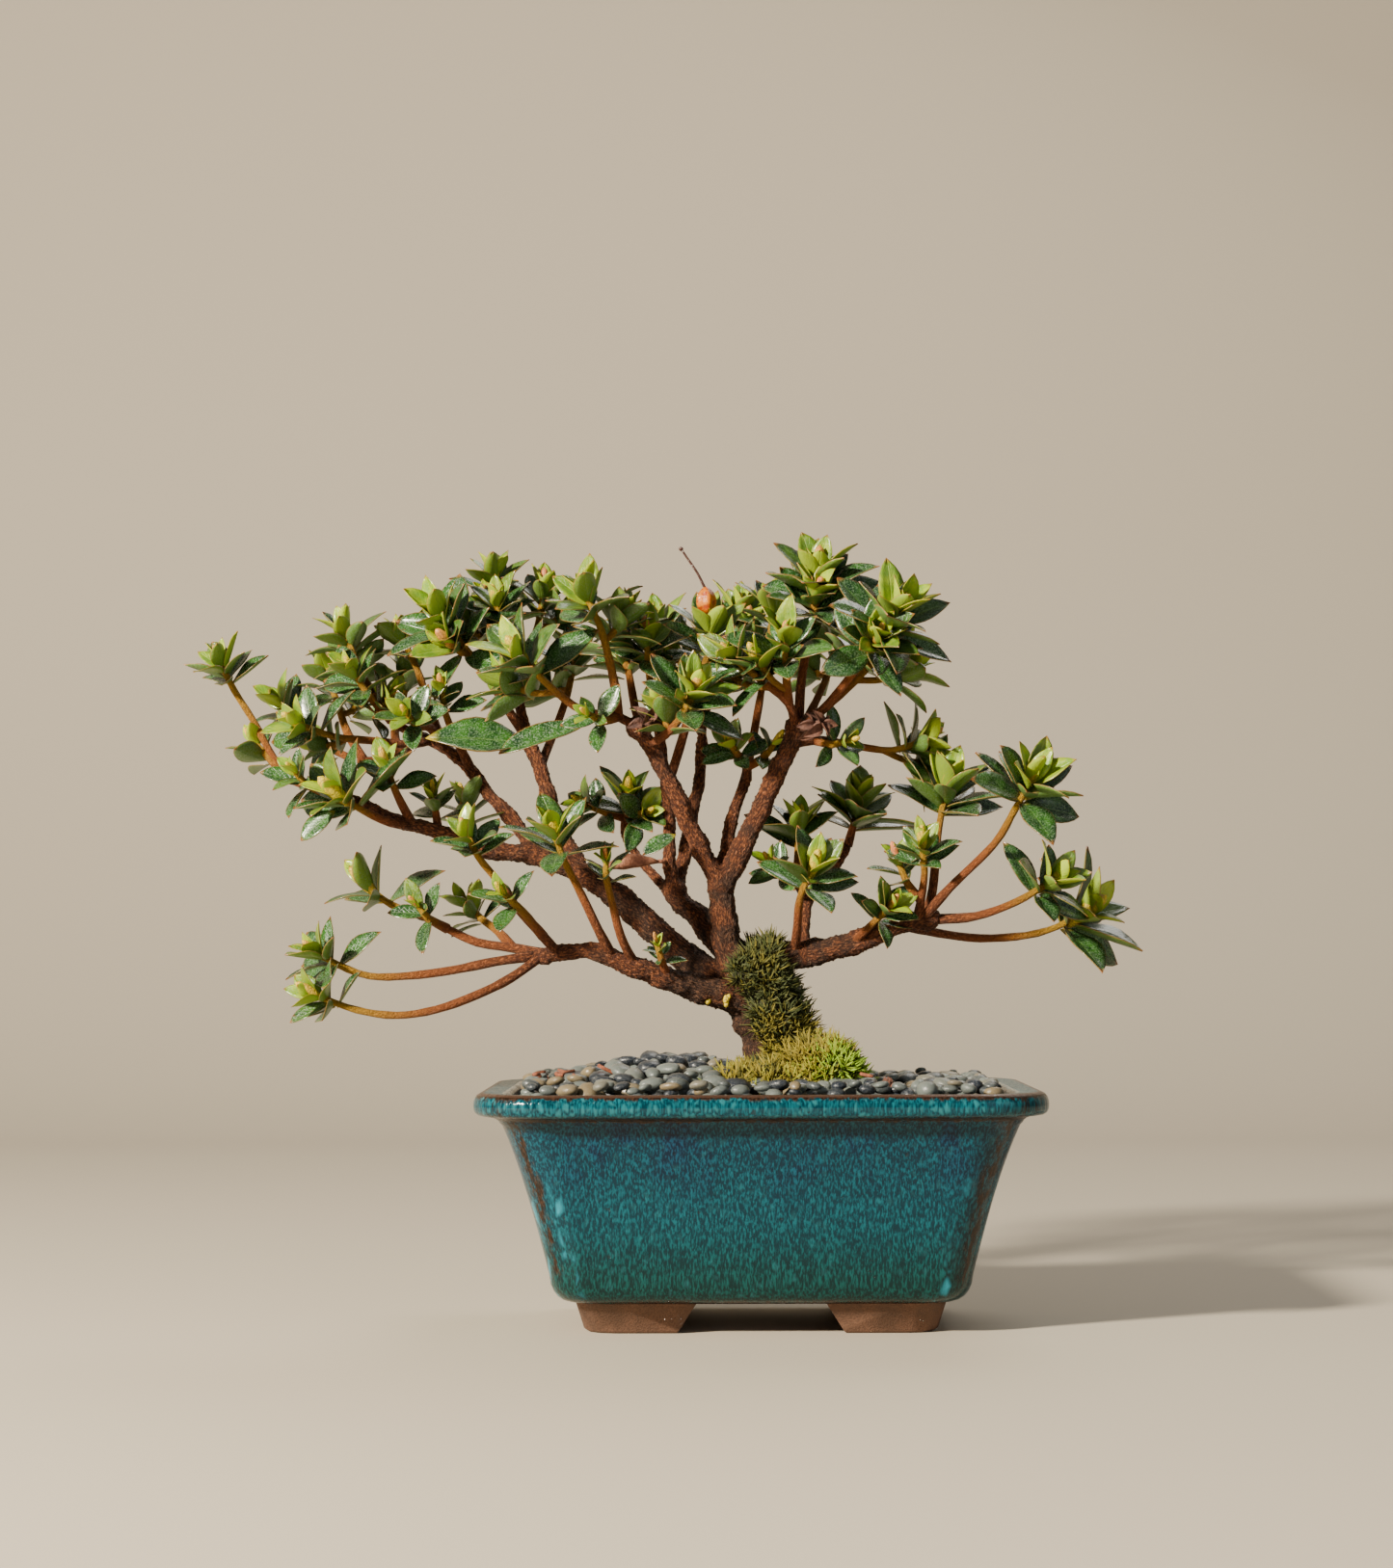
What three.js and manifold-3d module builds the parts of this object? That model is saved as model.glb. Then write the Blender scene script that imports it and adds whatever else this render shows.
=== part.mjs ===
// A small azalea bonsai in a glazed rectangular pot. Millimetres, +Z up, front towards -Y.
// Everything is laid out round the middle of the pot's footprint, with the table at z = 0.
// At the end the whole group moves so that its origin is the middle of its bounding box, at the bottom.
import * as THREE from "three";
import { mergeVertices } from "three/addons/utils/BufferGeometryUtils.js";
import Module from "manifold-3d";

const wasm = await Module();
wasm.setup();

// ---- Driving dimensions -------------------------------------------------------------------------
const POT_WIDTH = 203; // outside of the rim, along X
const POT_DEPTH = 159; // outside of the rim, along Y
const POT_HEIGHT = 86; // table to the top of the rim
const FOOT_HEIGHT = 11;
const FLOOR_THICKNESS = 5;
const RIM_HEIGHT = 9;
const RIM_OVERHANG = 9; // the rim stands this far out of the wall below it
const LIP_WIDTH = 11; // flat top of the rim
const TAPER = 24.5; // how much narrower the wall is at its foot than under the rim, on each side
const FOOT_CORNER = 12; // corner radius of the pot's outline at its foot
const CORNER_GROWTH = 0.25; // the corner radius grows by this share of the outline's half width
const DRAIN_RADIUS = 7;
const DRAIN_SPACING = 64;
const SOIL_DEPTH_BELOW_RIM = 9;
const BED_THICKNESS = 5; // the gravel that the pebbles are bedded in
const GAP = 0.35; // clearance kept between neighbouring solids
const LEAF_THICKNESS = 1;
const LEAF_SHARE = 0.68; // the share of a head's leaves that are modelled, each a little wider
const LEAF_SPREAD = 8; // the leaves of one head sit along this much of their twig's end
const TWIG_RADIUS = 1.15;
const SMOOTHING = 0.12; // details flatter than this are left out of the finished solids
const MERGE_DISTANCE = 1e-3; // corners nearer than this are one corner
const GOLDEN_ANGLE = THREE.MathUtils.degToRad(137.5);

const CORNER_STEPS = 3;
const LIMB_STEP = 15; // length of one straight stretch of a limb
const UP = new THREE.Vector3(0, 0, 1);
const LIGHT = new THREE.Vector3(0, -0.85, 0.5); // where the leaves turn to

// ---- The tree's limbs: each starts inside its parent --------------------------------------------
// Each row: name, radius at the start and at the end, and the points it grows through.
const LIMBS = [
  ["trunk", 15, 9, [[8, 2, 68], [8, 1, 84], [5, 0, 99], [-1, 0, 112], [-5, 0, 124], [-7, 0, 132]]],
  ["root_left", 6, 3, [[5, 0, 88], [-6, -5, 80], [-17, -9, 72]]],
  ["root_right", 7, 3.5, [[10, 0, 88], [21, -6, 81], [31, -9, 72]]],
  ["root_back", 6, 3, [[7, 4, 88], [9, 15, 81], [12, 26, 72]]],
  ["low_left", 7, 2.9, [[-2, -3, 116], [-16, -8, 120], [-32, -14, 125], [-48, -18, 131], [-62, -20, 136],
    [-72, -20, 135], [-82, -20, 134]]],
  ["high_left", 7.2, 4.6, [[-6, 2, 121], [-19, 2, 128], [-31, 3, 137], [-43, 4, 148], [-55, 5, 158],
    [-66, 6, 165], [-78, 6, 170], [-88, 5, 173]]],
  ["left_arm", 4.4, 2.6, [[-84, 5, 172], [-98, 2, 173], [-110, -2, 177], [-122, -5, 181], [-134, -8, 184],
    [-147, -10, 191]]],
  ["left_riser", 3.6, 2.2, [[-82, 6, 171], [-91, 10, 184], [-100, 13, 194], [-109, 15, 205], [-119, 16, 213],
    [-128, 16, 217]]],
  ["back_riser", 4.2, 2.6, [[-66, 8, 165], [-73, 16, 179], [-78, 20, 193], [-82, 22, 205], [-88, 24, 219],
    [-90, 25, 233]]],
  ["centre_left", 6.4, 4.4, [[-6, 4, 126], [-14, 10, 138], [-22, 14, 148], [-31, 17, 156], [-33, 18, 162]]],
  ["centre_left_front", 3.2, 2.1, [[-32, 17, 159], [-33, 14, 170], [-33, 12, 184], [-34, 10, 196],
    [-35, 9, 209], [-37, 9, 217]]],
  ["centre_left_back", 3.6, 2.3, [[-31, 18, 157], [-28, 26, 170], [-25, 32, 185], [-22, 37, 201],
    [-21, 40, 217], [-20, 42, 227]]],
  ["centre_left_side", 2.6, 1.8, [[-32, 18, 157], [-40, 22, 165], [-46, 25, 172], [-50, 27, 180]]],
  ["centre", 7, 5.6, [[-6, -2, 126], [-12, -3, 140], [-13, -4, 151], [-14, -5, 162]]],
  ["centre_to_left", 4.4, 3.4, [[-13, -5, 159], [-19, -8, 169], [-25, -11, 181], [-31, -14, 194],
    [-37, -16, 206], [-44, -18, 217]]],
  ["centre_to_right", 5, 4, [[-13, -5, 159], [-6, -7, 174], [1, -9, 188], [7, -11, 201], [12, -12, 212],
    [15, -12, 220]]],
  ["centre_middle", 3.2, 2.4, [[-14, -4, 161], [-11, 2, 178], [-8, 6, 190], [-4, 8, 199]]],
  ["right", 7, 3.6, [[-1, 1, 126], [7, 0, 132], [18, -2, 135], [30, -5, 137], [42, -8, 141],
    [54, -11, 146], [66, -12, 147]]],
  ["right_riser", 3, 2.2, [[17, -2, 135], [17, 6, 146], [19, 12, 155], [28, 19, 166], [34, 22, 175]]],
];

// ---- The leafy shoots ----------------------------------------------------------------------------
// Each shoot is a row of heads: the points a twig grows through, the length of its longest leaf, and
// how many leaves it has. The first twig starts on its limb, and the others start on the first twig.
const SHOOTS = {
  low_left_upper: [
    [[[-82, -20, 134], [-96, -22, 132], [-111, -24, 129], [-127, -26, 127], [-141, -27, 127],
      [-152, -28, 131], [-159, -28, 135]], 18, 8],
  ],
  low_left_lower: [
    [[[-79, -20, 134], [-90, -27, 126], [-102, -33, 120], [-116, -37, 115], [-130, -39, 113],
      [-144, -40, 115], [-158, -41, 120]], 18, 7],
  ],
  low_left_middle: [
    [[[-78, -20, 135], [-90, -13, 137], [-103, -12, 139], [-114, -11, 144], [-124, -10, 149],
      [-135, -8, 153], [-143, -6, 159]], 21, 5],
    [[[-114, -11, 144], [-121, -15, 148], [-124, -18, 152]], 14, 5],
    [[[-90, -13, 137], [-96, -3, 143], [-103, 5, 148], [-108, 9, 153]], 15, 8],
  ],
  low_left_front: [
    [[[-73, -20, 135], [-78, -28, 141], [-86, -34, 150], [-93, -38, 160], [-101, -40, 170],
      [-104, -41, 177]], 16, 8],
    [[[-78, -28, 141], [-85, -37, 150], [-91, -43, 156]], 15, 5],
  ],
  front_riser_middle: [
    [[[-53, -19, 133], [-58, -27, 143], [-64, -32, 156], [-70, -36, 168], [-73, -38, 177]], 22, 7],
  ],
  front_riser_right: [
    [[[-45, -17, 130], [-50, -27, 141], [-53, -32, 153], [-55, -35, 162], [-55, -36, 168]], 12, 6],
  ],
  trunk_sprout: [
    [[[-33, -14, 125], [-35, -21, 131], [-37, -24, 138]], 8, 6],
  ],
  arm_end: [
    [[[-128, -7, 182], [-135, -14, 183], [-144, -19, 187], [-152, -22, 192]], 26, 7],
  ],
  arm_riser_outer: [
    [[[-127, -6, 182], [-131, -11, 190], [-134, -14, 197], [-136, -15, 203]], 16, 6],
  ],
  arm_riser_middle: [
    [[[-118, -4, 180], [-119, -2, 186], [-120, -1, 193]], 13, 6],
  ],
  arm_riser_inner: [
    [[[-104, 0, 175], [-108, 9, 183], [-110, 14, 191]], 16, 6],
  ],
  arm_fan: [
    [[[-147, -10, 191], [-157, -5, 194], [-166, -1, 197], [-175, 3, 201], [-182, 5, 211],
      [-188, 6, 222], [-195, 6, 233], [-200, 6, 243]], 17, 9],
    [[[-175, 3, 201], [-182, 5, 208], [-187, 8, 213]], 17, 4],
    [[[-157, -5, 194], [-164, -12, 196], [-169, -17, 201]], 15, 6],
  ],
  left_crown: [
    [[[-128, 16, 217], [-137, 11, 222], [-144, 6, 230], [-150, 3, 239]], 18, 8],
    [[[-137, 11, 222], [-145, 14, 233], [-151, 18, 245], [-155, 20, 255]], 20, 9],
  ],
  left_spread: [
    [[[-123, 16, 215], [-131, 9, 213], [-144, 0, 214], [-156, -6, 215], [-168, -11, 219]], 18, 8],
  ],
  left_back: [
    [[[-125, 16, 216], [-135, 24, 211], [-149, 30, 208], [-162, 34, 213], [-173, 36, 221],
      [-182, 37, 230]], 17, 7],
    [[[-149, 30, 208], [-156, 34, 219], [-160, 37, 230], [-164, 38, 241]], 18, 7],
    [[[-135, 24, 211], [-138, 34, 219], [-136, 43, 230], [-135, 48, 241]], 17, 8],
  ],
  left_inner: [
    [[[-117, 16, 211], [-122, 9, 219], [-126, -2, 219], [-129, -9, 223]], 15, 7],
  ],
  left_upright: [
    [[[-114, 16, 209], [-120, 23, 218], [-125, 27, 231], [-129, 29, 243], [-135, 30, 255]], 17, 9],
  ],
  left_small: [
    [[[-107, 15, 203], [-112, 8, 214], [-116, 3, 224], [-117, 0, 232]], 13, 6],
  ],
  crown_left_front: [
    [[[-87, 24, 216], [-94, 16, 227], [-102, 10, 240], [-110, 6, 250], [-117, 4, 259]], 23, 8],
    [[[-94, 16, 227], [-95, 8, 231], [-94, 4, 237]], 12, 5],
  ],
  crown_left_top: [
    [[[-90, 25, 233], [-91, 25, 241], [-95, 20, 253], [-98, 16, 266]], 18, 9],
    [[[-91, 25, 241], [-95, 32, 253], [-99, 35, 266], [-100, 36, 278]], 18, 9],
    [[[-91, 25, 241], [-86, 34, 252], [-83, 39, 263], [-82, 42, 273]], 18, 9],
  ],
  crown_back_left: [
    [[[-82, 22, 205], [-78, 33, 217], [-73, 45, 233], [-70, 53, 249]], 19, 9],
  ],
  knot_left: [
    [[[-44, -18, 217], [-51, -21, 221], [-64, -26, 223], [-76, -30, 232], [-85, -33, 241]], 24, 8],
    [[[-51, -21, 221], [-52, -22, 231], [-55, -23, 245], [-58, -24, 255], [-62, -25, 264]], 21, 9],
    [[[-51, -21, 221], [-56, -28, 219], [-61, -34, 221]], 13, 5],
  ],
  knot_left_front: [
    [[[-40, -17, 211], [-34, -25, 214], [-28, -31, 220], [-24, -34, 228]], 21, 10],
  ],
  crown_middle_back: [
    [[[-42, -17, 214], [-45, -6, 224], [-48, 6, 240], [-51, 13, 255]], 23, 10],
  ],
  crown_middle: [
    [[[-36, 9, 213], [-38, 3, 224], [-40, -3, 237], [-41, -6, 250]], 20, 9],
  ],
  crown_pod: [
    [[[-34, 10, 196], [-29, 4, 211], [-23, -4, 231], [-18, -9, 246], [-18, -10, 253]], 20, 10],
  ],
  crown_back_middle: [
    [[[-21, 40, 219], [-28, 49, 233], [-33, 55, 248], [-38, 57, 262]], 20, 9],
  ],
  crown_back_right: [
    [[[-20, 42, 227], [-14, 44, 239], [-9, 44, 252], [-7, 43, 265]], 20, 9],
  ],
  middle_low: [
    [[[-4, 8, 199], [-4, 5, 204], [-7, 1, 208], [-10, -3, 212]], 13, 7],
    [[[-4, 5, 204], [2, 1, 207], [6, -2, 212]], 13, 4],
  ],
  crown_middle_right: [
    [[[-9, 5, 187], [-4, 16, 203], [0, 19, 224], [3, 22, 241], [5, 23, 253], [6, 23, 265]], 20, 9],
  ],
  knot_right_front: [
    [[[14, -12, 217], [11, -20, 226], [1, -23, 234], [-9, -26, 242]], 19, 7],
    [[[11, -20, 226], [10, -26, 238], [10, -29, 247]], 22, 8],
  ],
  crown_right_top: [
    [[[15, -12, 220], [16, -12, 235], [19, -12, 251], [21, -12, 263], [22, -12, 273]], 23, 11],
  ],
  crown_right: [
    [[[14, -12, 216], [24, -16, 224], [35, -25, 237], [44, -32, 249], [49, -34, 256]], 24, 13],
    [[[24, -16, 224], [36, -9, 235], [45, -4, 245]], 23, 8],
  ],
  crown_far_right_back: [
    [[[11, -11, 210], [16, -1, 217], [23, 16, 231], [28, 32, 243], [31, 38, 253]], 21, 9],
  ],
  right_high: [
    [[[12, -12, 211], [21, -9, 213], [38, 0, 211], [50, 6, 210], [60, 8, 213]], 20, 9],
    [[[21, -9, 213], [27, -14, 211], [32, -16, 212]], 13, 6],
  ],
  right_twin_back: [
    [[[61, -12, 147], [64, -7, 158], [66, -1, 174], [68, 3, 186], [70, 4, 194]], 25, 11],
  ],
  right_twin_front: [
    [[[59, -12, 146], [69, -22, 158], [85, -28, 174], [92, -33, 186], [97, -36, 195]], 23, 11],
  ],
  right_tip_upper: [
    [[[65, -12, 147], [79, -17, 148], [93, -23, 153], [105, -27, 160]], 21, 9],
  ],
  right_tip_lower: [
    [[[52, -10, 145], [66, -1, 142], [82, 2, 140], [99, 2, 141], [110, 1, 144], [118, 0, 148]], 28, 8],
  ],
  right_small_pair: [
    [[[58, -12, 147], [59, -18, 154], [60, -24, 164], [59, -27, 173]], 16, 8],
    [[[59, -18, 154], [54, -19, 160], [51, -18, 168]], 13, 6],
  ],
  right_front: [
    [[[34, -6, 138], [39, -14, 143], [47, -21, 151]], 16, 8],
  ],
  riser_top: [
    [[[34, 22, 175], [36, 24, 182], [38, 25, 189]], 24, 11],
  ],
  riser_pair: [
    [[[19, 12, 155], [15, 16, 160], [15, 21, 170], [16, 23, 182]], 20, 8],
    [[[15, 16, 160], [9, 10, 163], [5, 7, 168]], 13, 6],
  ],
  right_inner: [
    [[[13, -1, 134], [14, -11, 143], [15, -20, 155], [19, -24, 164]], 21, 8],
  ],
  side_spray: [
    [[[-50, 27, 180], [-50, 25, 186], [-49, 22, 193]], 18, 8],
    [[[-50, 25, 186], [-45, 18, 188], [-42, 14, 187]], 15, 5],
    [[[-50, 25, 186], [-57, 23, 188], [-65, 21, 191]], 14, 6],
  ],
};

// ---- Solids --------------------------------------------------------------------------------------
function solidOf(geometry) {
  const bare = geometry.index ? geometry.toNonIndexed() : geometry.clone();
  bare.deleteAttribute("normal");
  bare.deleteAttribute("uv");
  const merged = mergeVertices(bare, MERGE_DISTANCE);
  return new wasm.Manifold(new wasm.Mesh({
    numProp: 3,
    vertProperties: merged.attributes.position.array,
    triVerts: new Uint32Array(merged.index.array),
  }));
}

function geometryOf(solid) {
  const { numProp, numVert, vertProperties, triVerts } = solid.getMesh();
  const positions = new Float32Array(numVert * 3);
  for (let i = 0; i < numVert; i++) {
    positions.set(vertProperties.subarray(i * numProp, i * numProp + 3), i * 3);
  }
  const geometry = new THREE.BufferGeometry();
  geometry.setAttribute("position", new THREE.BufferAttribute(positions, 3));
  geometry.setIndex(new THREE.BufferAttribute(new Uint32Array(triVerts), 1));
  geometry.computeVertexNormals();
  return geometry;
}

const joined = (solids) => solids.reduce((whole, part) => whole.add(part));

// A cut can leave crumbs behind: only the largest body of a solid is kept.
function largestBody(solid) {
  const bodies = solid.decompose();
  return bodies.reduce((best, body) => (body.volume() > best.volume() ? body : best));
}

function box(low, high) {
  const size = high.map((value, i) => value - low[i]);
  const middle = high.map((value, i) => (value + low[i]) / 2);
  return solidOf(new THREE.BoxGeometry(...size).translate(...middle));
}

function ellipsoid(centre, radii, widthSteps = 8, heightSteps = 6) {
  const ball = new THREE.SphereGeometry(1, widthSteps, heightSteps).rotateX(Math.PI / 2);
  return solidOf(ball.scale(...radii).translate(...centre));
}

const vectorsOf = (points) => points.map((point) => new THREE.Vector3(...point));

// A closed tube along a smooth curve, tapering from one radius to the other.
function taperedTube(points, startRadius, endRadius, sides, step = LIMB_STEP) {
  const curve = new THREE.CatmullRomCurve3(vectorsOf(points));
  const steps = Math.max(2, Math.round(curve.getLength() / step));
  const frames = curve.computeFrenetFrames(steps);
  const tube = new THREE.CylinderGeometry(1, 1, 1, sides, steps);
  const position = tube.attributes.position;
  for (let i = 0; i < position.count; i++) {
    const ring = Math.round((position.getY(i) + 0.5) * steps);
    const radius = THREE.MathUtils.lerp(startRadius, endRadius, ring / steps);
    const point = curve.getPointAt(ring / steps)
      .addScaledVector(frames.binormals[ring], position.getX(i) * radius)
      .addScaledVector(frames.normals[ring], position.getZ(i) * radius);
    position.setXYZ(i, point.x, point.y, point.z);
  }
  return solidOf(tube);
}

// ---- The pot -------------------------------------------------------------------------------------
// The pot's outline at a half width: a rectangle with round corners, always POT_WIDTH - POT_DEPTH
// narrower across Y than along X.
function outlineAt(halfWidth) {
  const halfDepth = halfWidth - (POT_WIDTH - POT_DEPTH) / 2;
  const radius = FOOT_CORNER + CORNER_GROWTH * (halfWidth - POT_WIDTH / 2 + RIM_OVERHANG + TAPER);
  const points = [];
  for (const [signX, signY, start] of [[1, 1, 0], [-1, 1, 1], [-1, -1, 2], [1, -1, 3]]) {
    for (let i = 0; i <= CORNER_STEPS; i++) {
      const angle = (start + i / CORNER_STEPS) * (Math.PI / 2);
      points.push([
        signX * (halfWidth - radius) + radius * Math.cos(angle),
        signY * (halfDepth - radius) + radius * Math.sin(angle),
      ]);
    }
  }
  return points;
}

// A closed solid through the outline at each [half width, height] of a profile.
function rectangularLathe(profile) {
  const rings = profile.map(([halfWidth, z]) => outlineAt(halfWidth).map(([x, y]) => [x, y, z]));
  const around = rings[0].length;
  const positions = rings.flat();
  const triangles = [];
  for (let r = 0; r + 1 < rings.length; r++) {
    for (let i = 0; i < around; i++) {
      const j = (i + 1) % around;
      const [a, b, c, d] = [r * around + i, r * around + j, (r + 1) * around + j, (r + 1) * around + i];
      triangles.push(a, b, c, a, c, d);
    }
  }
  const first = positions.length;
  const last = first + 1;
  positions.push([0, 0, profile[0][1]], [0, 0, profile.at(-1)[1]]);
  for (let i = 0; i < around; i++) {
    const j = (i + 1) % around;
    triangles.push(first, j, i);
    triangles.push(last, (rings.length - 1) * around + i, (rings.length - 1) * around + j);
  }
  const geometry = new THREE.BufferGeometry();
  geometry.setAttribute("position", new THREE.Float32BufferAttribute(positions.flat(), 3));
  geometry.setIndex(triangles);
  return solidOf(geometry);
}

const rimHalf = POT_WIDTH / 2;
const wallTop = rimHalf - RIM_OVERHANG;
const wallFoot = wallTop - TAPER;
const rimBottom = POT_HEIGHT - RIM_HEIGHT;
const floorTop = FOOT_HEIGHT + FLOOR_THICKNESS;
const mouth = rimHalf - LIP_WIDTH - 1.5;
const wallHeight = rimBottom - FOOT_HEIGHT;

// The wall's half width outside at a share of its height: a straight taper with a light outward flare.
const wallAt = (share) => wallFoot + 4 + (TAPER - 4) * (0.86 * share + 0.14 * share ** 4);

// The inside wall's half width at a height.
const innerWall = [
  [wallFoot - 6, floorTop],
  [wallFoot - 1, floorTop + 2],
  [wallFoot + 1.5, floorTop + 11],
  [wallFoot + 8.5, POT_HEIGHT - 32],
  [wallFoot + 17, POT_HEIGHT - 10],
  [mouth - 1, POT_HEIGHT - 5],
];

function innerHalfWidth(height) {
  const above = innerWall.findIndex(([, z]) => z >= height);
  const [[w0, z0], [w1, z1]] = [innerWall[above - 1], innerWall[above]];
  return w0 + ((w1 - w0) * (height - z0)) / (z1 - z0);
}

// A wedge-sided slot under the pot, cut right through between two feet.
function footSlot(halfTop, halfBottom, alongX) {
  const section = new THREE.Shape([
    new THREE.Vector2(-halfBottom, -1),
    new THREE.Vector2(halfBottom, -1),
    new THREE.Vector2(halfTop, FOOT_HEIGHT),
    new THREE.Vector2(-halfTop, FOOT_HEIGHT),
  ]);
  const prism = new THREE.ExtrudeGeometry(section, { depth: 2 * POT_WIDTH, bevelEnabled: false });
  prism.translate(0, 0, -POT_WIDTH).rotateX(Math.PI / 2);
  return solidOf(alongX ? prism.rotateZ(Math.PI / 2) : prism);
}

function drainHole(side, radius, low, high) {
  const rod = new THREE.CylinderGeometry(radius, radius, high - low, 16).rotateX(Math.PI / 2);
  return solidOf(rod.translate((side * DRAIN_SPACING) / 2, 0, (low + high) / 2));
}

function makePot() {
  const shell = rectangularLathe([
    [wallFoot, FOOT_HEIGHT],
    [wallFoot + 3, FOOT_HEIGHT + 0.8],
    [wallAt(0.07), FOOT_HEIGHT + 4],
    [wallAt(0.35), FOOT_HEIGHT + 0.35 * wallHeight],
    [wallAt(0.65), FOOT_HEIGHT + 0.65 * wallHeight],
    [wallAt(0.85), FOOT_HEIGHT + 0.85 * wallHeight],
    [wallTop, rimBottom - 1],
    [wallTop + 3, rimBottom + 0.6],
    [rimHalf - 1.6, rimBottom + 1.6],
    [rimHalf, rimBottom + 4],
    [rimHalf, POT_HEIGHT - 3],
    [rimHalf - 1.2, POT_HEIGHT - 0.8],
    [rimHalf - 3, POT_HEIGHT],
    [mouth + 1, POT_HEIGHT],
    [mouth, POT_HEIGHT - 0.8],
    ...innerWall.toReversed(),
  ]);
  const footRing = rectangularLathe([
    [wallFoot - 5.6, 0],
    [wallFoot - 4.6, 1],
    [wallFoot - 1, FOOT_HEIGHT + 2],
  ]);
  const hollow = box([-wallFoot + 13, -wallFoot + 35, -1], [wallFoot - 13, wallFoot - 35, FOOT_HEIGHT]);
  const feet = footRing
    .subtract(hollow)
    .subtract(footSlot(23, 30.5, false))
    .subtract(footSlot(15, 22, true));
  const drains = [-1, 1].map((side) => drainHole(side, DRAIN_RADIUS, FOOT_HEIGHT - 5, floorTop + 5));
  return joined([shell, feet]).subtract(drains[0]).subtract(drains[1]);
}

// A square of plastic mesh lying over a drain hole.
const SCREEN = { half: 11, thickness: 1.2, holes: 3, hole: 4.4, pitch: 6.4 };

function makeScreen(side) {
  const { half, thickness, holes, hole, pitch } = SCREEN;
  const middle = (side * DRAIN_SPACING) / 2;
  const [low, high] = [floorTop + GAP, floorTop + GAP + thickness];
  let sheet = box([middle - half, -half, low], [middle + half, half, high]);
  for (let i = 0; i < holes; i++) {
    for (let j = 0; j < holes; j++) {
      const [x, y] = [middle + (i - 1) * pitch, (j - 1) * pitch];
      const reach = hole / 2;
      sheet = sheet.subtract(box([x - reach, y - reach, low - 1], [x + reach, y + reach, high + 1]));
    }
  }
  return sheet;
}

// ---- Trunk and limbs -----------------------------------------------------------------------------
function makeWood(grown = 0) {
  return joined(LIMBS.map(([, start, end, points]) =>
    taperedTube(points, start + grown, end + grown, start > 4.5 ? 8 : 6)));
}

// ---- Moss, soil and pebbles ----------------------------------------------------------------------
const soilTop = POT_HEIGHT - SOIL_DEPTH_BELOW_RIM;
const bedBottom = soilTop + GAP;

// Cushions of moss at the trunk's foot: centre and radii.
const MOUND = [
  [[8, -14, 82], [25, 22, 12]],
  [[27, -18, 87], [12, 12, 15]],
  [[-9, -22, 83], [11, 9, 9]],
  [[7, 10, 82], [22, 18, 9]],
];
// Moss creeping up the front and right of the trunk.
const COLLAR = [[13, -5, 96], [9, -5, 107], [4, -4, 118], [0, -4, 128], [-2, -4, 135]];

function makeMound(grown = 0) {
  return joined(MOUND.map(([centre, radii]) => ellipsoid(centre, radii.map((r) => r + grown), 9, 5)));
}

function makeCollar() {
  return taperedTube(COLLAR, 12, 10.5, 8, 14);
}

// Pebbles lie in a loose spiral round the pot's middle, larger and higher on the left.
const PEBBLES = 40;

function pebbleAt(index) {
  const share = (index + 0.5) / PEBBLES;
  const angle = index * GOLDEN_ANGLE;
  const reach = Math.sqrt(share);
  const x = 74 * reach * Math.cos(angle);
  const y = 52 * reach * Math.sin(angle);
  const heap = 6 * Math.exp(-(((x + 28) / 26) ** 2) - ((y - 6) / 30) ** 2);
  const long = 8 + 2 * Math.sin(index * 2.3);
  const turn = index * 1.7;
  return { x, y, z: bedBottom + BED_THICKNESS + 0.4 + heap, long, turn };
}

function makePebbles(cutters) {
  const bedTop = bedBottom + BED_THICKNESS;
  const bed = rectangularLathe([
    [innerHalfWidth(bedBottom) - GAP, bedBottom],
    [innerHalfWidth(POT_HEIGHT - 5) - GAP, bedTop - 1],
    [innerHalfWidth(POT_HEIGHT - 5) - 3, bedTop],
  ]);
  const heap = ellipsoid([-28, 6, bedTop - 2], [30, 34, 8], 12, 6);
  const stones = [];
  for (let i = 0; i < PEBBLES; i++) {
    const { x, y, z, long, turn } = pebbleAt(i);
    const stone = new THREE.SphereGeometry(1, 6, 3).rotateX(Math.PI / 2);
    stone.scale(long, long * 0.7, long * 0.5).rotateZ(turn).translate(x, y, z);
    stones.push(solidOf(stone));
  }
  const whole = joined([bed, heap, ...stones]);
  return largestBody(cutters.reduce((rest, cutter) => rest.subtract(cutter), whole));
}

function makeSoil(cutters) {
  const block = rectangularLathe([
    [innerHalfWidth(floorTop + 0.01) - 0.5, floorTop + GAP],
    [innerHalfWidth(floorTop + 2) - GAP, floorTop + 2 + GAP],
    [innerHalfWidth(floorTop + 11) - GAP, floorTop + 11],
    [innerHalfWidth(POT_HEIGHT - 32) - GAP, POT_HEIGHT - 32],
    [innerHalfWidth(soilTop) - GAP, soilTop],
  ]);
  return cutters.reduce((rest, cutter) => rest.subtract(cutter), block);
}

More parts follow.
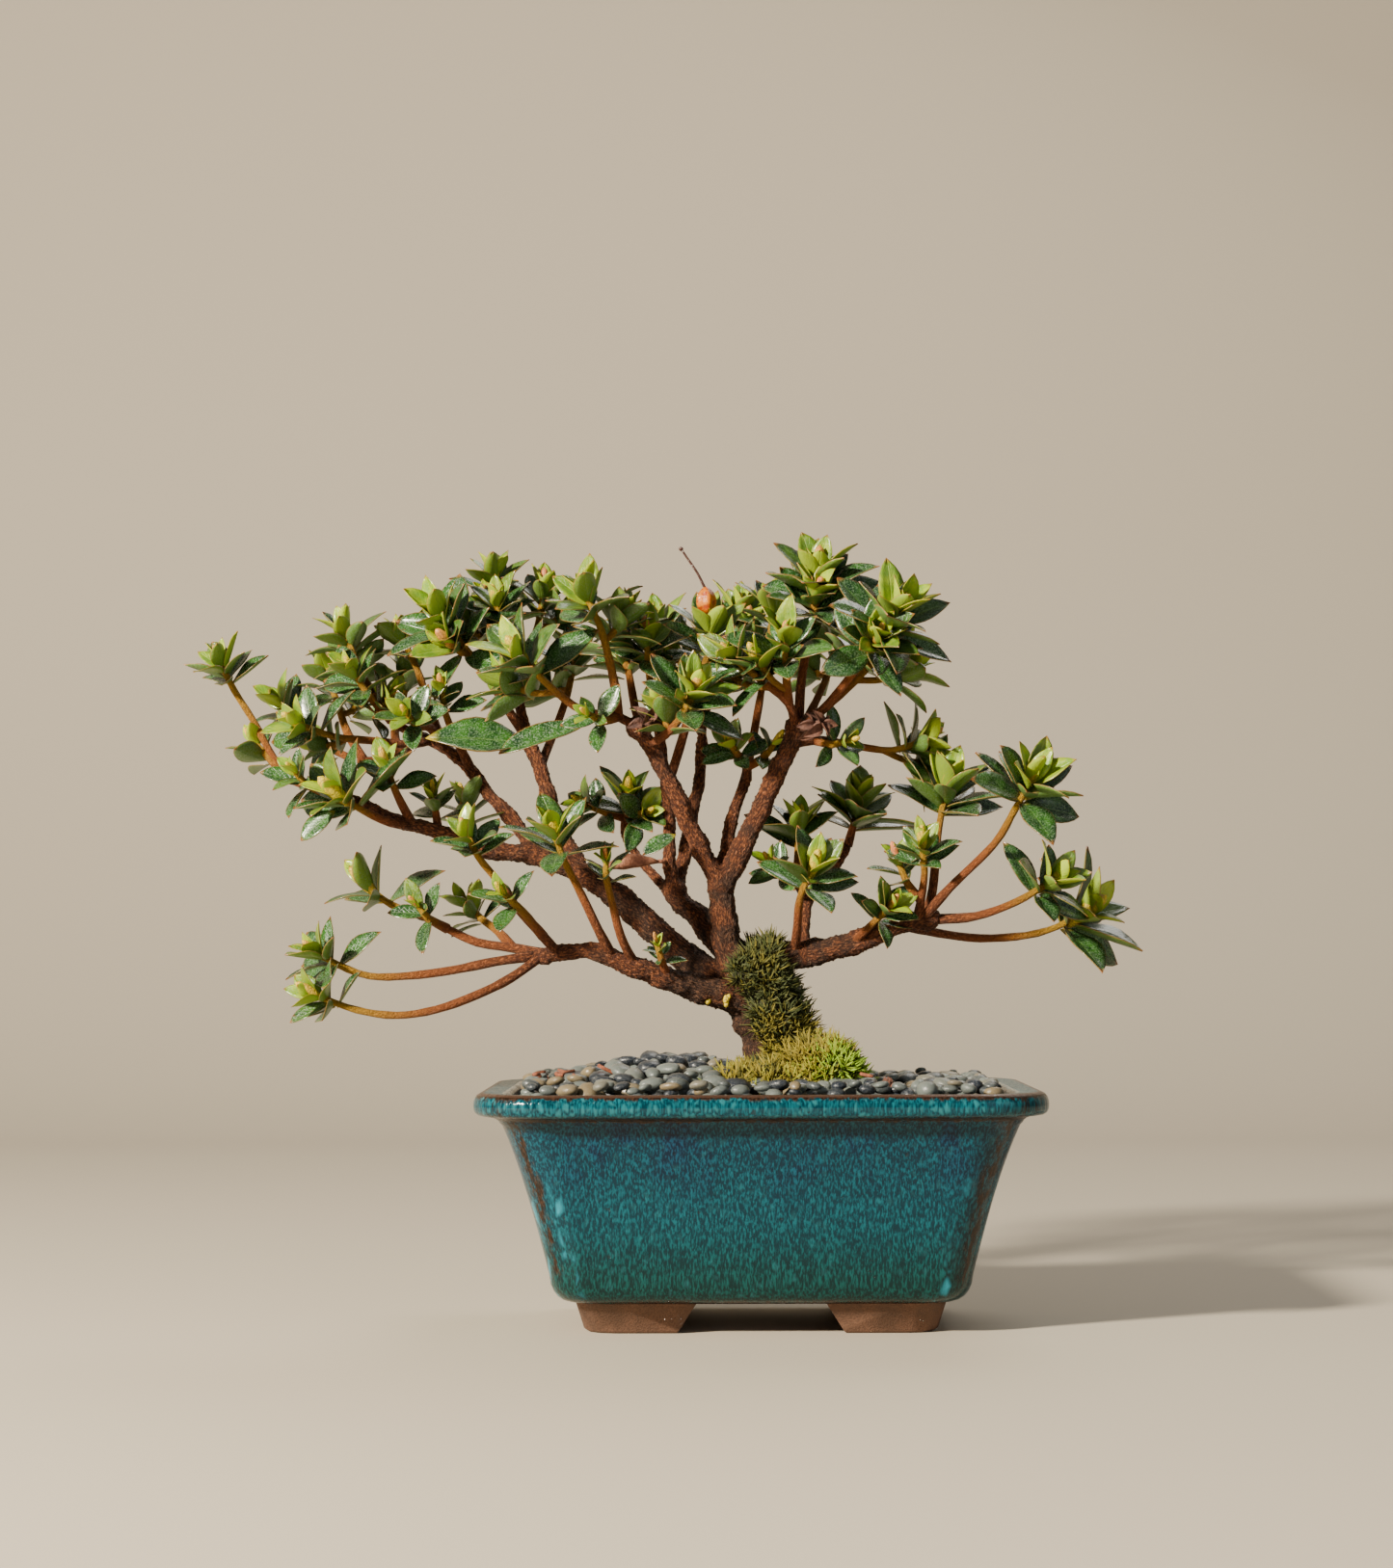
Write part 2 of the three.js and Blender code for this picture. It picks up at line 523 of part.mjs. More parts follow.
// ---- Leaves --------------------------------------------------------------------------------------
// A pointed blade from a base point along a direction, its upper side facing the given normal.
function blade(base, direction, normal, length, width) {
  const leaf = new THREE.BufferGeometry();
  const corners = [[0, -1, 0], [1, 0.1, 0], [0, 1, 0], [-1, 0.1, 0], [0, 0.1, 1]];
  leaf.setAttribute("position", new THREE.Float32BufferAttribute(corners.flat(), 3));
  leaf.setIndex([0, 2, 1, 0, 3, 2, 0, 1, 4, 1, 2, 4, 2, 3, 4, 3, 0, 4]);
  const side = new THREE.Vector3().crossVectors(direction, normal);
  const place = new THREE.Matrix4().makeBasis(
    side.multiplyScalar(width / 2),
    direction.clone().multiplyScalar(length / 2),
    normal.clone().multiplyScalar(LEAF_THICKNESS),
  );
  place.setPosition(base.clone().addScaledVector(direction, length / 2));
  return solidOf(leaf.applyMatrix4(place));
}

// A repeatable number from 0 to 1 for each pair of indices.
const chance = (a, b) => {
  const value = Math.sin(a * 127.1 + b * 311.7 + 1.3) * 43758.5453;
  return value - Math.floor(value);
};

// The turns tried, in degrees, when a leaf's own place is taken by a neighbour.
const TURNS = [0, 18, -18, 36, -36, 54, -54, 75, -75];

// Every leaf of one head, as a function that makes its solid at a turn and a share of its length.
function leavesOf(end, axis, longest, most, seed) {
  const count = Math.max(3, Math.round(most * LEAF_SHARE));
  const across = new THREE.Vector3(0.3, 1, 0.2).cross(axis).normalize();
  const leaves = [];
  for (let i = 0; i < count; i++) {
    const age = 1 - i / (count - 1); // 1 is the oldest, lowest leaf
    const length = longest * (0.55 + 0.45 * Math.sqrt(age)) * (0.85 + 0.3 * chance(seed, i));
    const lean = THREE.MathUtils.degToRad(24 + 52 * age + 12 * (chance(i, seed) - 0.5));
    const base = end.clone().addScaledVector(axis, -LEAF_SPREAD * age);
    const around = i * GOLDEN_ANGLE + seed * 2.1;
    leaves.push((turn, share) => {
      const outward = across.clone().applyAxisAngle(axis, around + THREE.MathUtils.degToRad(turn));
      const direction = axis.clone().multiplyScalar(Math.cos(lean)).addScaledVector(outward, Math.sin(lean));
      const normal = axis.clone().addScaledVector(direction, -axis.dot(direction)).normalize();
      const size = length * share;
      return blade(base, direction, normal, size, size * (0.46 + 0.08 * chance(seed + 3, i)));
    });
  }
  return leaves;
}

const placed = []; // every solid that a leaf has to stay clear of: { owner, solid, bounds }

function remember(owner, solid) {
  placed.push({ owner, solid, bounds: solid.boundingBox() });
}

function isClear(owner, solid) {
  const { min, max } = solid.boundingBox();
  return placed.every((other) => {
    const apart = [0, 1, 2].some((k) =>
      other.bounds.min[k] > max[k] + GAP || other.bounds.max[k] < min[k] - GAP);
    return other.owner === owner || apart || other.solid.minGap(solid, 2 * GAP) > GAP;
  });
}

const routesOf = (heads) => heads.map(([points, longest, count]) => ({ points, longest, count }));

// The direction a head faces: along its twig's last stretch, turned up and towards the light.
function axisOf(points) {
  const [before, end] = vectorsOf(points.slice(-2));
  return end.clone().sub(before).normalize().addScaledVector(LIGHT, 0.55).normalize();
}

function makeStems(routes) {
  return routes.map(({ points }) => taperedTube(points, TWIG_RADIUS + 0.4, TWIG_RADIUS, 4, 20));
}

// ---- Small things --------------------------------------------------------------------------------
// Withered flowers: short blades round a stub at the end of each knotted limb.
const BLOOMS = {
  withered_bloom_left: { stub: [[-43, -18, 215], [-40, -27, 219]], longest: 9, count: 8 },
  withered_bloom_right: { stub: [[14, -12, 217], [23, -22, 218]], longest: 10, count: 8 },
};
const DRY_LEAF = { stub: [[-33, 14, 169], [-37, 8, 169]], tip: [-56, 3, 167], width: 8 };
const POD = { centre: [-19, -15, 264], radii: [4, 4, 5.5] };
const POD_STYLE = [[-19, -15, 267], [-22, -16, 274], [-26, -16, 280], [-28, -16, 283]];

// ---- Assembly ------------------------------------------------------------------------------------
const tree = new THREE.Group();

const COLOURS = {
  glaze: { color: 0x16696f, roughness: 0.25 },
  soil: { color: 0x3a2a1e, roughness: 1 },
  pebble: { color: 0x7c8078, roughness: 0.6 },
  plastic: { color: 0x1b1c1b, roughness: 0.6 },
  moss: { color: 0x6f7a2a, roughness: 1 },
  bark: { color: 0x6b3f2a, roughness: 0.9 },
  leaf: { color: 0x4f7a28, roughness: 0.45 },
  dry: { color: 0x4a2a20, roughness: 0.9 },
  pod: { color: 0xc0661c, roughness: 0.6 },
};

function addNode(name, solid, finish) {
  const material = new THREE.MeshStandardMaterial({ ...COLOURS[finish], metalness: 0 });
  const whole = largestBody(solidOf(geometryOf(solid.simplify(SMOOTHING))));
  const mesh = new THREE.Mesh(geometryOf(whole), material);
  mesh.name = name;
  tree.add(mesh);
}

const wood = makeWood();
const woodCutter = makeWood(GAP);
const belowBed = box([-100, -100, 0], [100, 100, bedBottom]);
const mound = largestBody(makeMound().subtract(belowBed).subtract(woodCutter));
const moundCutter = makeMound(GAP);
const collar = largestBody(makeCollar().subtract(woodCutter).subtract(moundCutter));
const screenRoom = [-1, 1].map((side) => {
  const middle = (side * DRAIN_SPACING) / 2;
  const reach = SCREEN.half + GAP;
  return box([middle - reach, -reach, 0], [middle + reach, reach, floorTop + 2 * GAP + SCREEN.thickness]);
});

addNode("pot", makePot(), "glaze");
addNode("drain_screen_left", makeScreen(-1), "plastic");
addNode("drain_screen_right", makeScreen(1), "plastic");
addNode("soil", makeSoil([woodCutter, ...screenRoom]), "soil");
addNode("pebbles", makePebbles([belowBed, woodCutter, moundCutter]), "pebble");
addNode("moss_mound", mound, "moss");
addNode("moss_on_trunk", collar, "moss");
addNode("trunk_and_limbs", wood, "bark");
remember("trunk_and_limbs", wood);
remember("moss_on_trunk", collar);

// Twigs first, so that every leaf can be kept clear of all of them.
const shoots = Object.entries(SHOOTS).map(([name, row], index) => {
  const routes = routesOf(row);
  const stems = makeStems(routes);
  stems.forEach((stem) => remember(name, stem));
  return { name, index, routes, stems };
});

const pod = ellipsoid(POD.centre, POD.radii, 7, 6);
const style = taperedTube(POD_STYLE, 0.6, 0.5, 5, 5);
remember("seed_pod", pod);
remember("seed_pod", style);

const blooms = Object.entries(BLOOMS).map(([name, { stub, longest, count }], index) => {
  const stem = taperedTube(stub, 1.6, 1.2, 6, 5);
  const [, end] = vectorsOf(stub);
  const petals = leavesOf(end, axisOf(stub), longest, count, index + 20)
    .map((leaf) => leaf(0, 1))
    .filter((solid) => isClear(name, solid));
  [stem, ...petals].forEach((solid) => remember(name, solid));
  return [name, joined([stem, ...petals])];
});

const dryStem = taperedTube(DRY_LEAF.stub, 1, 0.8, 6, 4);
const [, dryBase, dryTip] = vectorsOf([...DRY_LEAF.stub, DRY_LEAF.tip]);
const dryLine = dryTip.clone().sub(dryBase);
const dryNormal = new THREE.Vector3(0, -1, 0).cross(dryLine).cross(dryLine).negate().normalize();
const dryBlade = blade(dryBase, dryLine.clone().normalize(), dryNormal, dryLine.length(), DRY_LEAF.width);
remember("dry_leaf", dryStem);
remember("dry_leaf", dryBlade);

let missing = 0;
for (const { name, index, routes, stems } of shoots) {
  const pieces = [...stems];
  routes.forEach(({ points, longest, count }, head) => {
    const end = new THREE.Vector3(...points.at(-1));
    const axis = axisOf(points);
    const budSide = UP.clone().cross(axis).normalize();
    const bud = blade(end.clone().addScaledVector(axis, -1.5), axis, budSide, 8, 3);
    if (isClear(name, bud)) pieces.push(bud);
    for (const leaf of leavesOf(end, axis, longest, count, index * 3 + head)) {
      const tries = [1, 0.75, 0.55].flatMap((share) => TURNS.map((turn) => [turn, share]));
      const fit = tries.map((pair) => () => leaf(...pair)).find((make) => isClear(name, make()));
      if (!fit) {
        missing += 1;
        continue;
      }
      const solid = fit();
      remember(name, solid);
      pieces.push(solid);
    }
  });
  addNode(`shoot_${name}`, largestBody(joined(pieces).subtract(woodCutter)), "leaf");
}
if (missing) console.log(`${missing} leaves found no room`);

for (const [name, solid] of blooms) {
  addNode(name, largestBody(solid.subtract(woodCutter)), "dry");
}
addNode("dry_leaf", largestBody(joined([dryStem, dryBlade]).subtract(woodCutter)), "dry");
addNode("seed_pod", joined([pod, style]), "pod");

const bounds = new THREE.Box3().setFromObject(tree);
tree.position.set(-(bounds.min.x + bounds.max.x) / 2, -(bounds.min.y + bounds.max.y) / 2, -bounds.min.z);

export default tree;
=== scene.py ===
"""A small azalea bonsai in a glazed rectangular pot: its looks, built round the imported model.

Tables are in millimetres from the middle of the pot's footprint, with the table top at z = 0.
The pot's front faces -Y. Every finished piece is in metres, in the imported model's own frame.
"""
import math
import random

import bmesh
import bpy
from mathutils import Matrix, Quaternion, Vector, noise
from mathutils.kdtree import KDTree


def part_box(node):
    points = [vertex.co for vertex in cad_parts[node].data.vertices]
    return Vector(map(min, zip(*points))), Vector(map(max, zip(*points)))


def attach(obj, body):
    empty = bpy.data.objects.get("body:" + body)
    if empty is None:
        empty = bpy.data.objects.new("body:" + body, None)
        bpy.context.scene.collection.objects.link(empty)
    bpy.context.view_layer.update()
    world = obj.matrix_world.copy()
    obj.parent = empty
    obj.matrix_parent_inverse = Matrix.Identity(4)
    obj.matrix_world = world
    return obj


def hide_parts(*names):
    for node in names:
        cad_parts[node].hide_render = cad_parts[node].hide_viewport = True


MM = 0.001

# ---- The pot -----------------------------------------------------------------------------------
POT_WIDTH = 203
POT_DEPTH = 159
POT_HEIGHT = 86
FOOT_HEIGHT = 11
RIM_HEIGHT = 9
RIM_OVERHANG = 9
MOUTH_HALF_WIDTH = 89  # inner edge of the rim
TAPER = 24.5
FOOT_CORNER = 12
CORNER_GROWTH = 0.25
RIM_ROUNDING = 7  # how much rounder the rim's corners are than the wall's
CORNER_STEPS = 14
WALL_RINGS = 26
FIRST_WALL_RING = 4  # the foot's curve takes the place of the lower ones
FLOOR_CUT = 20  # below this height the floor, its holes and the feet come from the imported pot
DRAIN_REACH = (50, 20)  # the drain holes' walls lie within this much of the middle
SHARP_FOOT_EDGE = math.radians(35)
FOOT_EASING = 0.7
# The curves of the pot's section, each row how far it lies beyond and above a corner, and how bare.
FOOT_CURVE = [(-1.4, 0, 1), (0.9, 0.2, 0.95), (2.9, 0.9, 0.6), (4.6, 2.2, 0.2), (5.9, 4.1, 0), (6.9, 6.5, 0)]
# The groove's bareness paints its glaze dark brown: painted shade in the groove under the rim.
GROOVE_CURVE = [(-0.2, -1.6, 0.1), (0.1, -0.9, 0.55), (1.2, -0.1, 1), (3.2, 0.5, 1), (5.6, 0.7, 0.9)]
RIM_CURVE = [(-1.6, 1.1, 0.5), (-0.6, 1.9, 0.15), (-0.1, 3.1, 0), (0, 4.6, 0), (-0.1, 6.0, 0.1),
             (-0.5, 7.2, 0.5), (-1.2, 8.2, 1), (-2.2, 8.8, 1)]
LIP_CURVE = [(-3.4, 0, 0.75), (-5, -0.1, 0.1), (-8, -0.25, 0)]
MOUTH_CURVE = [(2.4, -0.3, 0.2), (1, -0.7, 0.8), (0, -1.6, 0.9), (-0.6, -4, 0.6), (-1, -6, 0.9)]

# ---- The bed -----------------------------------------------------------------------------------
BED_HEIGHT = 80
BED_TOP = 90.3  # no pebble's top lies above this, apart from the heap
HEAP_RISE = 8.5
PEBBLES = 560
HEAP_MIDDLE = (-32, 12)
HEAP_SPREAD = (24, 30)
HEAP_SHARE = 0.42  # the share of the pebbles that fall on the heap
EDGE_SHARE = 0.22  # the share that lie along the pot's lip, which are small
BED_REACH = (88, 66)
PEBBLE_SHAPES = 6
GROUND_GAP = 1.5  # between the gravel's edge and the pot's mouth
TWIGS = [(-55, -14, 9), (-22, -6, 6), (38, -38, 5), (20, -44, 7)]  # place and length
LITTER_STICKS = 26
CHIP_PLACE = (9, -43, 81)
CHIP_SIZE = (7, 4, 1.9)
CONE_PLACE = (46, -28, 84)
CONE_SCALES = 34

# ---- The moss ----------------------------------------------------------------------------------
SPRIG_BLADES = 7
BLADE_LENGTH = 2.3
MOSS_CUSHIONS = [((20, -13, 90), (12, 11, 13)), ((-5, -24, 84), (9, 7, 8)), ((24, -7, 87), (12, 12, 12))]
MOUND_SPRIGS = 2100
TRUNK_SPRIGS = 900

# ---- Leaves ------------------------------------------------------------------------------------
GOLDEN_ANGLE = math.radians(137.5)
FULL_TURN = 6.28
LIGHT = Vector((0, -0.85, 0.5))  # where the leaves turn to
LEAF_SPREAD = 10  # the leaves of one head sit along this much of their twig's end
LEAF_SHARE = 1.6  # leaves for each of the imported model's blades
LEAF_GROWTH = 1.1  # their length beside those blades
CROWN_HEIGHT = 205  # heads above this have a companion, as the crown is dense
LEAF_THICKNESS = 0.014  # share of the leaf's length
LEAF_SHAPES = ((0.14, 0.12), (0.24, -0.06), (0.10, 0.22), (0.18, 0.03))  # fold and bend
LEAF_SEGMENTS = (4, 8)
TWIG_RADIUS = 1.15
TWIG_TAPER = 0.75  # how much thicker a shoot is where it leaves its limb
BUD_SIZE = Vector((1.7, 1.7, 5.4))  # beside leaves of the usual length
USUAL_LEAF = 20

# ---- Wood --------------------------------------------------------------------------------------
BARK_VOXEL = 0.8
GRAIN_STRETCH = 0.42
LIMB_THINNING = 0.84  # bark and remeshing thicken the limbs again
KNOTS = [((-44, -18, 217), 4.6), ((14, -12, 218), 4.4), ((-78, -20, 134), 3.6),
         ((-31, 17, 158), 4.7), ((-13, -5, 161), 5.5), ((62, -12, 146), 3.8)]
BUD_SCALES = 9
BUD_SCALES_PLACE = Vector((-15, -12.8, 117))

# ---- The camera and the light ------------------------------------------------------------------
CAMERA = (-13.6, -1215.2, 137.2)
CAMERA_LENS = 75.4
CAMERA_TURN = 1.072  # degrees left of the pot's middle
CAMERA_TILT = 2.837  # degrees up
CAMERA_ROLL = 0.178  # degrees, right side up
SENSOR_WIDTH = 36
# Each lamp: its place and width in metres, its power and its tint.
LAMPS = {
    "key light": ((-1.25, -1.25, 0.95), 0.2, 138, (1.0, 0.90, 0.73)),
    "fill light": ((1.4, -1.5, 0.7), 1.6, 5, (0.86, 0.93, 1.0)),
    "back light": ((0.5, 1.0, 1.4), 0.8, 9, (1.0, 0.97, 0.92)),
}
LAMP_TARGET = Vector((-0.04, 0, 0.15))
FLOOR_HALF_WIDTH = 4
FLOOR_FRONT = -3
FLOOR_BACK = 1.1
COVE_RADIUS = 0.5
COVE_STEPS = 8
BACKDROP_HEIGHT = 4

# Each limb: its name, the radius at its start and end, and the points it grows through.
LIMBS = [
    ("trunk", 15, 9, [(8, 2, 68), (8, 1, 84), (5, 0, 99), (-1, 0, 112), (-5, 0, 124), (-7, 0, 132)]),
    ("root_left", 6, 3, [(5, 0, 88), (-6, -5, 80), (-17, -9, 72)]),
    ("root_right", 7, 3.5, [(10, 0, 88), (21, -6, 81), (31, -9, 72)]),
    ("root_back", 6, 3, [(7, 4, 88), (9, 15, 81), (12, 26, 72)]),
    ("low_left", 7, 2.9, [
        (-2, -3, 116), (-16, -8, 120), (-32, -14, 125), (-48, -18, 131), (-62, -20, 136),
        (-72, -20, 135), (-82, -20, 134)]),
    ("high_left", 7.2, 4.6, [
        (-6, 2, 121), (-19, 2, 128), (-31, 3, 137), (-43, 4, 148), (-55, 5, 158), (-66, 6, 165),
        (-78, 6, 170), (-88, 5, 173)]),
    ("left_arm", 4.4, 2.6, [
        (-84, 5, 172), (-98, 2, 173), (-110, -2, 177), (-122, -5, 181), (-134, -8, 184),
        (-147, -10, 191)]),
    ("left_riser", 3.6, 2.2, [
        (-82, 6, 171), (-91, 10, 184), (-100, 13, 194), (-109, 15, 205), (-119, 16, 213),
        (-128, 16, 217)]),
    ("back_riser", 4.2, 2.6, [
        (-66, 8, 165), (-73, 16, 179), (-78, 20, 193), (-82, 22, 205), (-88, 24, 219), (-90, 25, 233)]),
    ("centre_left", 6.4, 4.4, [
        (-6, 4, 126), (-14, 10, 138), (-22, 14, 148), (-31, 17, 156), (-33, 18, 162)]),
    ("centre_left_front", 3.2, 2.1, [
        (-32, 17, 159), (-33, 14, 170), (-33, 12, 184), (-34, 10, 196), (-35, 9, 209), (-37, 9, 217)]),
    ("centre_left_back", 3.6, 2.3, [
        (-31, 18, 157), (-28, 26, 170), (-25, 32, 185), (-22, 37, 201), (-21, 40, 217), (-20, 42, 227)]),
    ("centre_left_side", 2.6, 1.8, [(-32, 18, 157), (-40, 22, 165), (-46, 25, 172), (-50, 27, 180)]),
    ("centre", 7, 5.6, [(-6, -2, 126), (-12, -3, 140), (-13, -4, 151), (-14, -5, 162)]),
    ("centre_to_left", 4.4, 3.4, [
        (-13, -5, 159), (-19, -8, 169), (-25, -11, 181), (-31, -14, 194), (-37, -16, 206),
        (-44, -18, 217)]),
    ("centre_to_right", 5, 4, [
        (-13, -5, 159), (-6, -7, 174), (1, -9, 188), (7, -11, 201), (12, -12, 212), (15, -12, 220)]),
    ("centre_middle", 3.2, 2.4, [(-14, -4, 161), (-11, 2, 178), (-8, 6, 190), (-4, 8, 199)]),
    ("right", 7, 3.6, [
        (-1, 1, 126), (7, 0, 132), (18, -2, 135), (30, -5, 137), (42, -8, 141), (54, -11, 146),
        (66, -12, 147)]),
    ("right_riser", 3, 2.2, [(17, -2, 135), (17, 6, 146), (19, 12, 155), (28, 19, 166), (34, 22, 175)]),
]

